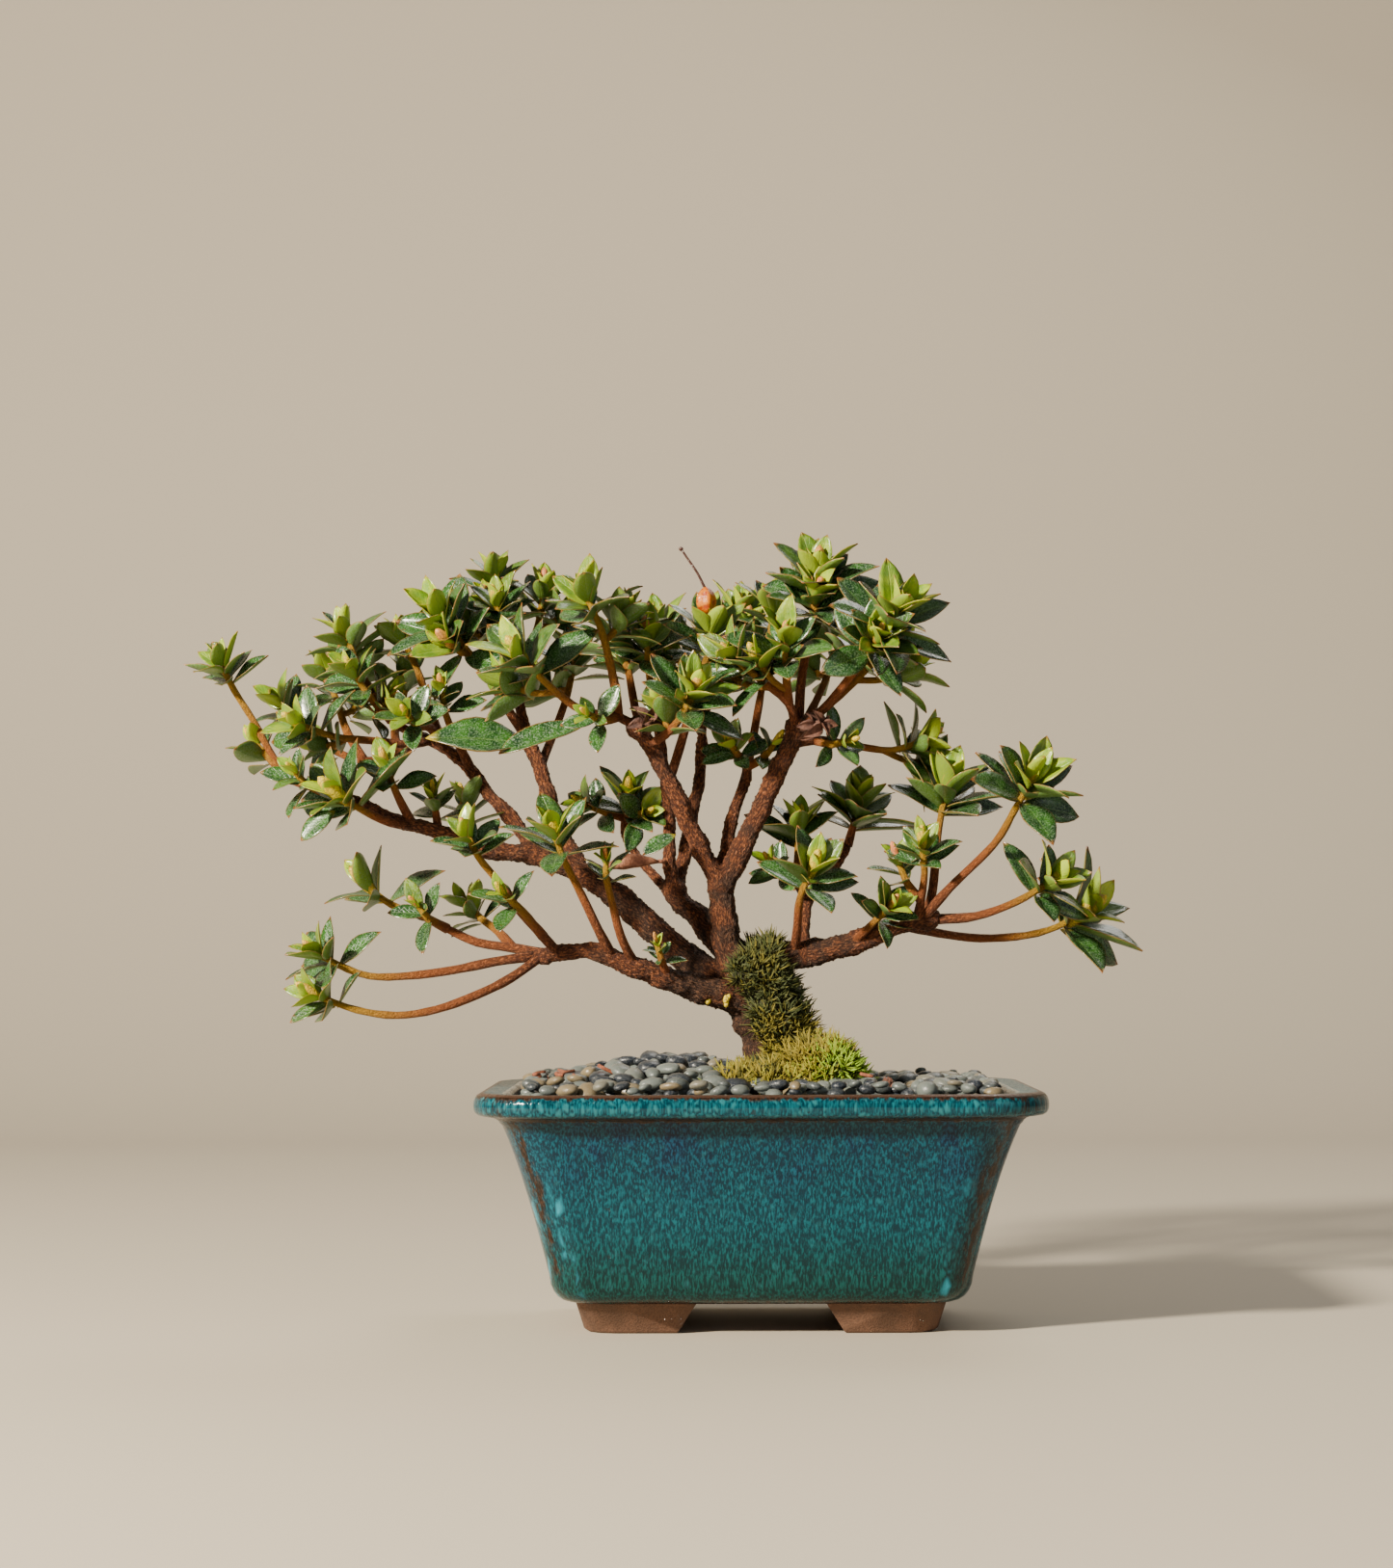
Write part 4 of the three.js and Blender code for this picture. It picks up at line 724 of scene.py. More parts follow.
def clay_material():
    """Unglazed brown stoneware of the feet and the floor."""
    material, nodes, shader = new_material("bare clay")
    dark_clay, warm_clay, grit_brown = (
        linear(0.085, 0.040, 0.021), linear(0.135, 0.064, 0.035), linear(0.055, 0.026, 0.015))
    where = nodes.place()
    cloud = mottle(nodes, where, 90, 0.35, 0.65)
    grit = mottle(nodes, where, 1500, 0.45, 0.62, 2)
    colour = nodes.mix(cloud, dark_clay, warm_clay)
    colour = nodes.mix(nodes.times(grit, 0.4), colour, grit_brown)
    wire(nodes, shader, colour, nodes.ramp(cloud, 0, 1, 0.68, 0.85), grit, 0.45, 0.15)
    return material


def bark_material():
    """Flaking red-brown bark, darker and greyer on old wood, orange to yellow on young stems, with painted
    highlights on its raised flakes and painted shade in its cracks.
    """
    material, nodes, shader = new_material("azalea bark", Specular_IOR_Level=0.3)
    stem_yellow, stem_orange, stem_shade = (
        linear(0.50, 0.31, 0.004), linear(0.37, 0.098, 0.022), linear(0.20, 0.070, 0.008))
    red_brown, lit_flake = linear(0.065, 0.018, 0.008), linear(0.36, 0.115, 0.038)
    old_brown, old_lit_flake = linear(0.020, 0.010, 0.007), linear(0.165, 0.075, 0.038)
    crack_and_recess_shade = linear(0.030, 0.012, 0.008)
    where = nodes.place()
    grain = nodes.add("ShaderNodeAttribute", attribute_name="grain").outputs["Vector"]
    age = nodes.attribute("tone")
    patch = mottle(nodes, where, 95, 0.38, 0.62)
    flake = mottle(nodes, grain, 1.7, 0.42, 0.62, 6)
    fine = mottle(nodes, grain, 3.6, 0.34, 0.66, 3)
    plates = cells(nodes, grain, 0.9, 0.12)
    young = nodes.mix(nodes.ramp(age, 0.0, 0.2), stem_yellow, stem_orange)
    young = nodes.mix(nodes.times(fine, 0.5), young, stem_shade)
    # raised flakes take a lit colour on young and old wood: partly the paler colour of real flakes, partly a
    # painted highlight
    middle = nodes.mix(flake, red_brown, lit_flake)
    old = nodes.mix(flake, old_brown, old_lit_flake)
    colour = nodes.mix(nodes.ramp(age, 0.12, 0.36), young, middle)
    aged = nodes.plus(age, nodes.times(nodes.minus(patch, 0.5), 0.35))
    colour = nodes.mix(nodes.ramp(aged, 0.50, 0.90), colour, old)
    # cracks and low spots are painted dark: partly dark fissures in the bark, partly painted shade in these
    # recesses
    dark = nodes.times(plates["Border"], nodes.ramp(age, 0.2, 0.6, 0.1, 0.7))
    dark = nodes.larger(dark, nodes.times(nodes.minus(1.0, fine), 0.45))
    colour = nodes.mix(dark, colour, crack_and_recess_shade)
    relief = nodes.plus(flake, nodes.times(plates["Height"], 0.5))
    relief = nodes.plus(relief, nodes.times(fine, 0.4))
    wire(nodes, shader, colour, nodes.ramp(flake, 0, 1, 0.85, 0.55), relief, 0.9, 0.6)
    return material


def leaf_material():
    """A hairy leaf: deep green and glossy when old, yellow-green when young, paler underneath."""
    material, nodes, shader = new_material(
        "azalea leaf", Coat_Weight=0.35, Coat_Roughness=0.18, Specular_IOR_Level=0.5)
    deep_green, mid_green = linear(0.006, 0.030, 0.008), linear(0.024, 0.090, 0.010)
    fresh_green, lime = linear(0.125, 0.265, 0.0), linear(0.330, 0.440, 0.0)
    dull_under, fresh_under = linear(0.070, 0.150, 0.012), linear(0.34, 0.46, 0.006)
    old_vein, young_vein = linear(0.08, 0.17, 0.03), linear(0.42, 0.53, 0.03)
    # the silvery hair colour is partly a painted glint of light on the hairs
    silver_hair_glint, spot_brown = linear(0.19, 0.29, 0.17), linear(0.10, 0.045, 0.012)
    tip_red, stalk_yellow = linear(0.34, 0.095, 0.02), linear(0.46, 0.33, 0.01)

    where = nodes.place()
    youth = nodes.attribute("tone")
    under = nodes.attribute("side")
    uv = nodes.add("ShaderNodeSeparateXYZ", {0: nodes.add("ShaderNodeUVMap", uv_map="UVMap").outputs[0]})
    across = nodes.math("ABSOLUTE", nodes.minus(uv.outputs[0], 0.5))
    along = uv.outputs[1]
    patch = mottle(nodes, where, 170, 0.35, 0.65)
    fine = mottle(nodes, where, 1600, 0.48, 0.64, 2)
    top = nodes.mix(nodes.ramp(youth, 0.1, 0.9), nodes.mix(patch, deep_green, mid_green),
                    nodes.mix(patch, fresh_green, lime))
    below = nodes.mix(nodes.ramp(youth, 0.1, 0.9), dull_under, fresh_under)
    colour = nodes.mix(under, top, below)
    # the midrib, and side veins that slant towards the tip
    midrib = nodes.ramp(across, 0.012, 0.045, 1.0, 0.0)
    slant = nodes.minus(along, nodes.times(across, 0.55))
    veins = nodes.add("ShaderNodeTexWave", {
        "Vector": nodes.add("ShaderNodeCombineXYZ", {0: slant}).outputs[0],
        "Scale": 2.6, "Distortion": 0.6}, bands_direction="X")
    vein = nodes.ramp(veins.outputs["Fac"], 0.86, 1.0)
    lines = nodes.larger(midrib, nodes.times(vein, 0.35))
    colour = nodes.mix(nodes.times(lines, 0.4), colour, nodes.mix(youth, old_vein, young_vein))
    # silvery hairs as pale specks, partly the hairs' own colour and partly painted glints of light, brown
    # spots, and a reddish tip and rim
    hair_glint_speckle = nodes.times(fine, nodes.ramp(youth, 0.1, 0.6, 0.42, 0.14))
    colour = nodes.mix(hair_glint_speckle, colour, silver_hair_glint)
    spots = nodes.times(mottle(nodes, where, 420, 0.70, 0.75, 2), 0.7)
    colour = nodes.mix(spots, colour, spot_brown)
    tip = nodes.times(nodes.ramp(along, 0.90, 1.0), 0.75)
    rim = nodes.times(nodes.ramp(across, 0.46, 0.5), 0.4)
    colour = nodes.mix(nodes.larger(tip, rim), colour, tip_red)
    colour = nodes.mix(nodes.ramp(along, 0.0, 0.16, 0.7, 0.0), colour, stalk_yellow)
    gloss = nodes.plus(nodes.ramp(youth, 0, 1, 0.27, 0.42), nodes.times(under, 0.3))
    rough = nodes.plus(gloss, nodes.times(fine, 0.1))
    relief = nodes.minus(nodes.times(patch, 0.5), lines)
    relief = nodes.plus(relief, nodes.times(fine, 0.25))
    wire(nodes, shader, colour, rough, relief, 0.5, 0.35)
    return material


def bud_material():
    """Scaly winter bud, yellow with a pink or orange flush."""
    material, nodes, shader = new_material("leaf bud", Roughness=0.5)
    bud_yellow, bud_pink, seam = linear(0.56, 0.42, 0.01), linear(0.58, 0.16, 0.06), linear(0.16, 0.10, 0.03)
    scales = cells(nodes, nodes.place((1, 1, 0.5)), 900, 0.15)
    colour = nodes.mix(nodes.attribute("tone"), bud_yellow, bud_pink)
    colour = nodes.mix(nodes.times(scales["Border"], 0.6), colour, seam)
    wire(nodes, shader, colour, None, scales["Height"], 0.5, 0.3)
    return material


def withered_material():
    """Dead leaf and bloom: dry, dark reddish brown."""
    material, nodes, shader = new_material("withered leaf", Roughness=0.75)
    black_brown, plum_brown = linear(0.035, 0.014, 0.012), linear(0.11, 0.045, 0.03)
    dry_red, dry_tan = linear(0.19, 0.06, 0.03), linear(0.36, 0.15, 0.08)
    where = nodes.place()
    patch = mottle(nodes, where, 260, 0.35, 0.65)
    fine = mottle(nodes, where, 1100, 0.4, 0.6)
    hue = nodes.attribute("tone")
    colour = nodes.mix(hue, nodes.mix(patch, black_brown, plum_brown), nodes.mix(patch, dry_red, dry_tan))
    wire(nodes, shader, colour, None, nodes.plus(patch, nodes.times(fine, 0.4)), 0.7, 0.4)
    return material


def pod_material():
    """Orange papery seed capsule with ribs, and its dark dry style."""
    material, nodes, shader = new_material("seed capsule", Roughness=0.3)
    burnt_orange = linear(0.28, 0.028, 0.0)
    amber = linear(0.52, 0.15, 0.0)
    dry_style = linear(0.05, 0.018, 0.014)
    where = nodes.place()
    patch = mottle(nodes, where, 420, 0.4, 0.6)
    colour = nodes.mix(patch, burnt_orange, amber)
    colour = nodes.mix(nodes.attribute("tone"), colour, dry_style)
    wire(nodes, shader, colour, None, patch, 0.5, 0.3)
    return material


def pebble_material():
    """Washed river stones: blue-grey, grey and tan, each with its own hue and fine speckles."""
    material, nodes, shader = new_material("river pebble", IOR=1.5)
    slate_blue, stone_grey, tan = (
        linear(0.012, 0.017, 0.027), linear(0.120, 0.140, 0.130), linear(0.18, 0.135, 0.070))
    pale_speck, dark_cloud = linear(0.24, 0.25, 0.24), linear(0.05, 0.05, 0.045)
    where = nodes.place()
    hue = nodes.attribute("tone")
    cold = nodes.mix(nodes.ramp(hue, 0.05, 0.6), slate_blue, stone_grey)
    colour = nodes.mix(nodes.ramp(hue, 0.78, 0.97), cold, tan)
    speck = mottle(nodes, where, 1500, 0.45, 0.65, 2)
    cloud = mottle(nodes, where, 220, 0.35, 0.65)
    colour = nodes.mix(nodes.times(speck, 0.18), colour, pale_speck)
    colour = nodes.mix(nodes.times(cloud, 0.2), colour, dark_cloud)
    wire(nodes, shader, colour, nodes.ramp(speck, 0, 1, 0.34, 0.52), speck, 0.25, 0.12)
    return material


def litter_material():
    """Fallen scales, bits of twig and a flat chip of stone among the pebbles."""
    material, nodes, shader = new_material("dry litter", Roughness=0.85)
    twig_brown = linear(0.09, 0.038, 0.024)
    chip_red = linear(0.40, 0.115, 0.05)
    dust = linear(0.05, 0.025, 0.018)
    fine = mottle(nodes, nodes.place(), 900, 0.4, 0.6)
    hue = nodes.attribute("tone")
    colour = nodes.mix(hue, twig_brown, chip_red)
    colour = nodes.mix(nodes.times(fine, 0.5), colour, dust)
    wire(nodes, shader, colour, None, fine, 0.6, 0.3)
    return material


def earth_material(name, dark, light, grains):
    """Damp crumbs, so many to the metre, each its own shade between two colours."""
    material, nodes, shader = new_material(name, Roughness=0.95)
    where = nodes.place()
    crumbs = cells(nodes, where, grains, 0.25)
    colour = nodes.mix(crumbs["Number"], dark, light)
    colour = nodes.mix(crumbs["Border"], colour, linear(0.012, 0.008, 0.005))
    wire(nodes, shader, colour, None, crumbs["Height"], 0.9, 1.0)
    return material


def moss_material():
    """Moss: olive-black where shaded, golden in the middle, fresh green on the mound."""
    material, nodes, shader = new_material("moss", Roughness=0.75)
    olive, gold, fresh = linear(0.030, 0.042, 0.004), linear(0.21, 0.165, 0.008), linear(0.20, 0.34, 0.008)
    root_shade = linear(0.018, 0.013, 0.003)
    hue = nodes.attribute("tone")
    height = nodes.attribute("side")
    colour = nodes.mix(nodes.ramp(hue, 0.0, 0.5), olive, gold)
    colour = nodes.mix(nodes.ramp(hue, 0.5, 1.0), colour, fresh)
    colour = nodes.mix(nodes.ramp(height, 0.0, 0.8, 0.92, 0.0), colour, root_shade)
    wire(nodes, shader, colour)
    return material


def plastic_material():
    """Black plastic mesh over the drain holes."""
    material, nodes, shader = new_material("drain mesh plastic", Specular_IOR_Level=0.4)
    fine = mottle(nodes, nodes.place(), 700, 0.35, 0.65)
    colour = nodes.mix(fine, linear(0.012, 0.013, 0.012), linear(0.03, 0.032, 0.03))
    wire(nodes, shader, colour, nodes.ramp(fine, 0, 1, 0.45, 0.6), fine, 0.3, 0.1)
    return material


def studio_material(name, tint):
    material, _, shader = new_material(name, Roughness=0.7)
    shader.inputs["Base Color"].default_value = tint
    return material


# ---- The pot -------------------------------------------------------------------------------------
RIM_HALF = POT_WIDTH / 2
WALL_TOP = RIM_HALF - RIM_OVERHANG
WALL_FOOT = WALL_TOP - TAPER
RIM_BOTTOM = POT_HEIGHT - RIM_HEIGHT


def corner_middles(half_width):
    """The corner radius of the pot's outline at a half width, and the middles of its four corners."""
    radius = FOOT_CORNER + CORNER_GROWTH * (half_width - WALL_FOOT)
    radius += RIM_ROUNDING * min(max((half_width - WALL_TOP) / 6, 0), 1)
    reach_x = half_width - radius
    reach_y = half_width - (POT_WIDTH - POT_DEPTH) / 2 - radius
    return radius, [Vector((x * reach_x, y * reach_y, 0)) for x, y in ((1, 1), (-1, 1), (-1, -1), (1, -1))]


def outline_spot(half_width, corner, share):
    """A point on the pot's outline: the share of the way round one of its corners."""
    radius, middles = corner_middles(half_width)
    angle = (corner + share) * math.pi / 2
    return middles[corner] + Vector((math.cos(angle), math.sin(angle), 0)) * radius


def wall_half(share):
    """The wall's half width at a share of its height: a straight taper with a light outward flare."""
    return WALL_FOOT + 4 + (TAPER - 4) * (0.86 * share + 0.14 * share**4)


def curve(rows, half_width, height):
    return [(half_width + beyond, height + above, bare) for beyond, above, bare in rows]


def pot_profile():
    """The pot's section from its foot, over the rim, and down inside: half width, height and bareness, which
    in the groove under the rim stands for painted shade.
    """
    rows = curve(FOOT_CURVE, WALL_FOOT, FOOT_HEIGHT)
    for ring in range(FIRST_WALL_RING, WALL_RINGS):
        share = ring / WALL_RINGS
        rows.append((wall_half(share) + 1.2 * (1 - share) ** 3, lerp(FOOT_HEIGHT, RIM_BOTTOM, share), 0))
    rows += curve(GROOVE_CURVE, WALL_TOP, RIM_BOTTOM)
    rows += curve(RIM_CURVE, RIM_HALF, RIM_BOTTOM)
    rows += curve(LIP_CURVE, RIM_HALF, POT_HEIGHT)
    rows += curve(MOUTH_CURVE, MOUTH_HALF_WIDTH, POT_HEIGHT)
    rows += [(WALL_FOOT + 17, POT_HEIGHT - 10, 1), (WALL_FOOT + 8.5, POT_HEIGHT - 32, 1),
             (WALL_FOOT + 1.5, FLOOR_CUT + 6, 1), (WALL_FOOT, FLOOR_CUT, 1)]
    return rows


def make_pot(glaze, lip, clay):
    """The pot from one outline, extruded and drawn in or out from row to row of its section."""
    build = Build()
    bm = build.bm
    profile = pot_profile()
    shares = [step / CORNER_STEPS for step in range(CORNER_STEPS + 1)]
    spots = [(corner, share) for corner in range(4) for share in shares]
    ring = bmesh.ops.create_circle(bm, cap_ends=False, segments=len(spots), radius=1)["verts"]
    edges = list({edge for vert in ring for edge in vert.link_edges})
    spot_of = dict(zip(ring, spots))
    for row, (half_width, height, bare) in enumerate(profile):
        if row:
            lower = spot_of
            made = bmesh.ops.extrude_edge_only(bm, edges=edges)["geom"]
            new = set(verts_of(made))
            edges = [edge for edge in edges_of(made) if edge.verts[0] in new and edge.verts[1] in new]
            spot_of = {}
            for vert in new:
                below = next(edge.other_vert(vert) for edge in vert.link_edges
                             if edge.other_vert(vert) in lower)
                spot_of[vert] = lower[below]
            on_top = half_width > MOUTH_HALF_WIDTH + 1 and height > POT_HEIGHT - 0.4
            for face in faces_of(made):
                face.material_index = 1 if on_top else (2 if height < POT_HEIGHT - 10 and bare == 1 else 0)
        wall_share = min(max((height - FOOT_HEIGHT) / 12, 0), 1) * (1 if height < RIM_BOTTOM else 0.6)
        for vert, (corner, share) in spot_of.items():
            place = outline_spot(half_width, corner, share)
            wave = noise.noise(Vector((place.x, place.y, height)) * 0.035) * 0.5
            vert.co = Vector((place.x, place.y, height)) * (1 + wave * 0.004)
            vert.co.z = height
            crest = 1 - abs(share - 0.5) * 2
            vert[build.side] = max(bare, wall_share * 0.85 * crest**2)
            vert[build.tone] = crest
    add_pot_foot(build)
    return build.finish("pot_glazed", [glaze, lip, clay], ["pot"])


def add_pot_foot(build):
    """The floor with its holes, the underside and the feet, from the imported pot, with eased edges."""
    bm = build.bm
    cast = bmesh.new()
    cast.from_mesh(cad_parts["pot"].data)
    bmesh.ops.transform(cast, matrix=TO_ROW.inverted(), verts=cast.verts)
    bmesh.ops.remove_doubles(cast, verts=cast.verts, dist=0.01)
    bmesh.ops.bisect_plane(cast, geom=whole_of(cast.verts), plane_co=(0, 0, FLOOR_CUT),
                           plane_no=(0, 0, 1), clear_outer=True)
    outside = []
    for face in cast.faces:
        middle = face.calc_center_median()
        near_drain = abs(middle.x) < DRAIN_REACH[0] and abs(middle.y) < DRAIN_REACH[1]
        faces_out = face.normal.x * middle.x + face.normal.y * middle.y > 0.5
        if middle.z > FOOT_HEIGHT + 0.1 and faces_out and not near_drain:
            outside.append(face)
    bmesh.ops.delete(cast, geom=outside, context="FACES")
    bmesh.ops.dissolve_limit(cast, angle_limit=math.radians(2), verts=cast.verts, edges=cast.edges)
    sharp = [edge for edge in cast.edges if len(edge.link_faces) == 2
             and max(vert.co.z for vert in edge.verts) < FOOT_HEIGHT - 0.5
             and edge.calc_face_angle() > SHARP_FOOT_EDGE]
    bmesh.ops.bevel(cast, geom=sharp, offset=FOOT_EASING, offset_type="OFFSET", affect="EDGES", segments=3,
                    profile=0.5, material=-1, clamp_overlap=True)
    bmesh.ops.triangulate(cast, faces=[face for face in cast.faces if len(face.verts) > 4])
    foot = bpy.data.meshes.new("foot")
    cast.to_mesh(foot)
    cast.free()
    before = set(bm.faces)
    bm.from_mesh(foot)
    for face in set(bm.faces) - before:
        face.material_index = 2


# ---- The pebble bed ------------------------------------------------------------------------------
class Bed:
    """The height of the bed at each millimetre, as pebbles settle on it."""

    def __init__(self):
        self.height = {}

    def at(self, x, y):
        return self.height.get((round(x), round(y)), BED_HEIGHT)

    def settle(self, x, y, long, wide, thick, turn):
        """Rests a pebble on what lies under it: the height of its middle, or None if it piles too high."""
        spots = []
        for along in range(-round(long), round(long) + 1):
            for across in range(-round(wide), round(wide) + 1):
                reach = (along / long) ** 2 + (across / wide) ** 2
                if reach <= 1:
                    spot = Vector((along, across)) @ Matrix.Rotation(-turn, 2)
                    spots.append((x + spot.x, y + spot.y, math.sqrt(1 - reach)))
        rest = max(self.at(sx, sy) + bulge * thick * 0.55 for sx, sy, bulge in spots)
        off = [(spot - middle) ** 2 / spread ** 2
               for spot, middle, spread in zip((x, y), HEAP_MIDDLE, HEAP_SPREAD)]
        if rest + thick > BED_TOP + HEAP_RISE * math.exp(-(off[0] + off[1]) / 2):
            return None
        for sx, sy, bulge in spots:
            key = (round(sx), round(sy))
            self.height[key] = max(self.at(sx, sy), rest + bulge * thick)
        return rest


def inside_mouth(x, y, margin):
    """Whether a spot lies within the pot's mouth, a margin away from its wall."""
    half = MOUTH_HALF_WIDTH - margin
    radius, middles = corner_middles(half)
    reach = Vector((max(abs(x) - middles[0].x, 0), max(abs(y) - middles[0].y, 0)))
    return reach.length < radius


def under_moss(x, y):
    return ((x - 11) / 25) ** 2 + ((y + 9) / 24) ** 2 < 1


def pebble_templates():
    """A few water-worn stones, as slightly uneven balls of radius one."""
    shapes = []
    for index in range(PEBBLE_SHAPES):
        build = Build()
        stone = bmesh.ops.create_icosphere(build.bm, subdivisions=2, radius=1)["verts"]
        for vert in stone:
            vert.co *= 1 + 0.2 * noise.noise(vert.co * 0.8 + Vector((index * 7, 3, 1)))
        shapes.append(build.as_template("pebble"))
    return shapes


def edge_spot(rng):
    """A spot just inside the pot's lip."""
    half = MOUTH_HALF_WIDTH - rng.uniform(3, 6)
    corner = rng.randrange(4)
    ends = outline_spot(half, corner, 0.6), outline_spot(half, (corner + 1) % 4, 0.4)
    return lerp(*ends, rng.random())


def add_pebble(build, rng, bed, shapes, x, y, long):
    """Drops one stone of a half length on the bed, and says whether it found room."""
    wide = long * rng.uniform(0.62, 0.85)
    thick = long * rng.uniform(0.40, 0.62)
    turn = rng.uniform(0, math.pi)
    z = bed.settle(x, y, long, wide, thick, turn)
    if z is None:
        return False
    tilt = Matrix.Rotation(rng.uniform(-0.3, 0.3), 4, "X") @ Matrix.Rotation(rng.uniform(-0.3, 0.3), 4, "Y")
    place = Matrix.Translation((x, y, z)) @ Matrix.Rotation(turn, 4, "Z") @ tilt
    build.stamp(rng.choice(shapes), place @ Matrix.Diagonal((long, wide, thick, 1)), rng.random())
    return True


def add_ground(build):
    """The gravel the pebbles lie on: a grid drawn in to the mouth's rounded outline."""
    half = MOUTH_HALF_WIDTH - GROUND_GAP
    radius, middles = corner_middles(half)
    ground = bmesh.ops.create_grid(build.bm, x_segments=60, y_segments=46, size=1)["verts"]
    for vert in ground:
        x, y = vert.co.x * half, vert.co.y * (half - (POT_WIDTH - POT_DEPTH) / 2)
        over = Vector((max(abs(x) - middles[0].x, 0), max(abs(y) - middles[0].y, 0)))
        if over.length > radius:
            pulled = over * (radius / over.length)
            x = math.copysign(abs(x) - over.x + pulled.x, x)
            y = math.copysign(abs(y) - over.y + pulled.y, y)
        z = BED_HEIGHT + 0.8 * noise.noise(Vector((x, y, 0)) * 0.4)
        vert.co = Vector((x, y, z))
    for face in build.bm.faces:
        face.material_index = 1


def make_pebbles(pebble, gravel, litter):
    """The bed: gravel, then stones dropped on the heap, along the lip and anywhere, then the litter."""
    build = Build()
    rng = random.Random(11)
    add_ground(build)
    bed = Bed()
    shapes = pebble_templates()
    placed, tries = 0, 0
    while placed < PEBBLES and tries < 12 * PEBBLES:
        lot = rng.random()
        long = rng.uniform(3.4, 6.6) + 2.2 * rng.random() ** 3
        if lot < HEAP_SHARE:
            x = rng.gauss(HEAP_MIDDLE[0], HEAP_SPREAD[0])
            y = rng.gauss(HEAP_MIDDLE[1], HEAP_SPREAD[1])
        elif lot < HEAP_SHARE + EDGE_SHARE:
            x, y, _ = edge_spot(rng)
            long = rng.uniform(2.8, 4.2)
        else:
            x, y = (rng.uniform(-reach, reach) for reach in BED_REACH)
        if inside_mouth(x, y, long * 0.8) and not under_moss(x, y):
            placed += add_pebble(build, rng, bed, shapes, x, y, long)
        tries += 1
    add_litter(build, rng, bed)
    return build.finish("pebble_bed", [pebble, gravel, litter], ["pebbles"])


def add_litter(build, rng, bed):
    """Bits of twig at the left end, a chip by the moss, and a shrivelled cone on the right."""
    for _ in range(LITTER_STICKS):
        x, y = rng.uniform(-82, -66), rng.uniform(-30, 24)
        add_stick(build, rng, (x, y, bed.at(x, y) + 0.8), rng.uniform(3, 7), rng.uniform(-0.15, 0.15))
    for x, y, length in TWIGS:
        add_stick(build, rng, (x, y, bed.at(x, y) + length * 0.3), length, 0.2)
    chip = bmesh.ops.create_icosphere(build.bm, subdivisions=2, radius=1)["verts"]
    for vert in chip:
        vert.co *= 1 + 0.3 * noise.noise(vert.co * 1.3)
    place = Matrix.Translation(CHIP_PLACE) @ Matrix.Diagonal((*CHIP_SIZE, 1))
    bmesh.ops.transform(build.bm, matrix=place, verts=chip)
    build.paint(chip, 0.9)
    mark_material(chip, 2)
    for index in range(CONE_SCALES):
        angle = index * GOLDEN_ANGLE
        share = index / CONE_SCALES
        scale = bmesh.ops.create_cone(
            build.bm, cap_ends=True, segments=4, radius1=1.3, radius2=0.1, depth=3.4)
        spot = Vector((math.cos(angle), math.sin(angle), 0)) * 2.6 * (1 - share * 0.7)
        lean = Vector((spot.x, spot.y, 1.2 + 3 * share)).to_track_quat("Z", "Y")
        place = Matrix.LocRotScale(Vector(CONE_PLACE) + Vector((0, 0, 5 * share)) + spot, lean, None)
        bmesh.ops.transform(build.bm, matrix=place, verts=scale["verts"])
        build.paint(scale["verts"], 0.15)
        mark_material(scale["verts"], 2)


def add_stick(build, rng, middle, length, lift):
    """A short bent bit of twig, lying across a spot."""
    direction = Vector((rng.uniform(-1, 1), rng.uniform(-1, 1), lift)).normalized()
    start = Vector(middle) - direction * length / 2
    bend = Vector((rng.uniform(-1, 1), rng.uniform(-1, 1), 0)) * length * 0.12
    path = smooth_path([start, start + direction * length / 2 + bend, start + direction * length], 3)
    radii = [0.55 + 0.25 * rng.random() for _ in path]
    sweep(build, path, radii, 5, [0.9 * rng.uniform(0.6, 1)] * len(path), 2)


def mark_material(verts, index):
    for vert in verts:
        for face in vert.link_faces:
            face.material_index = index


# ---- Moss ----------------------------------------------------------------------------------------
def sprig_template():
    """One sprig: pointed leaflets round a short stalk, about a millimetre across and three long."""
    build = Build()
    for index in range(SPRIG_BLADES):
        blade = bmesh.ops.create_cone(
            build.bm, cap_ends=True, segments=3, radius1=0.34, radius2=0.03, depth=BLADE_LENGTH)
        lean = math.radians(18 + 48 * chance(index, 2))
        place = (Matrix.Rotation(index * GOLDEN_ANGLE, 4, "Z") @ Matrix.Rotation(lean, 4, "X")
                 @ Matrix.Translation((0, 0, BLADE_LENGTH / 2)) @ Matrix.Diagonal((1, 0.55, 1, 1)))
        bmesh.ops.transform(build.bm, matrix=place, verts=blade["verts"])
        for vert in blade["verts"]:
            vert[build.side] = min(vert.co.length / 2.2, 1)
    return build.as_template("moss sprig")


def moss_hue(point):
    """Dark olive up the trunk, golden in the middle, bright green on the right of the mound."""
    climb = min(max((point.z - 94) / 20, 0), 1)
    fresh = min(max((point.x - 12) / 18, 0), 1) * (1 - climb)
    low_left = min(max((-4 - point.x) / 10, 0), 1) * (1 - climb)
    hue = 0.08 + 0.36 * (1 - climb) + 0.5 * max(fresh, 0.6 * low_left)
    return min(max(hue + (0.55 - 0.35 * climb) * noise.noise(point * 0.2), 0.0), 1)


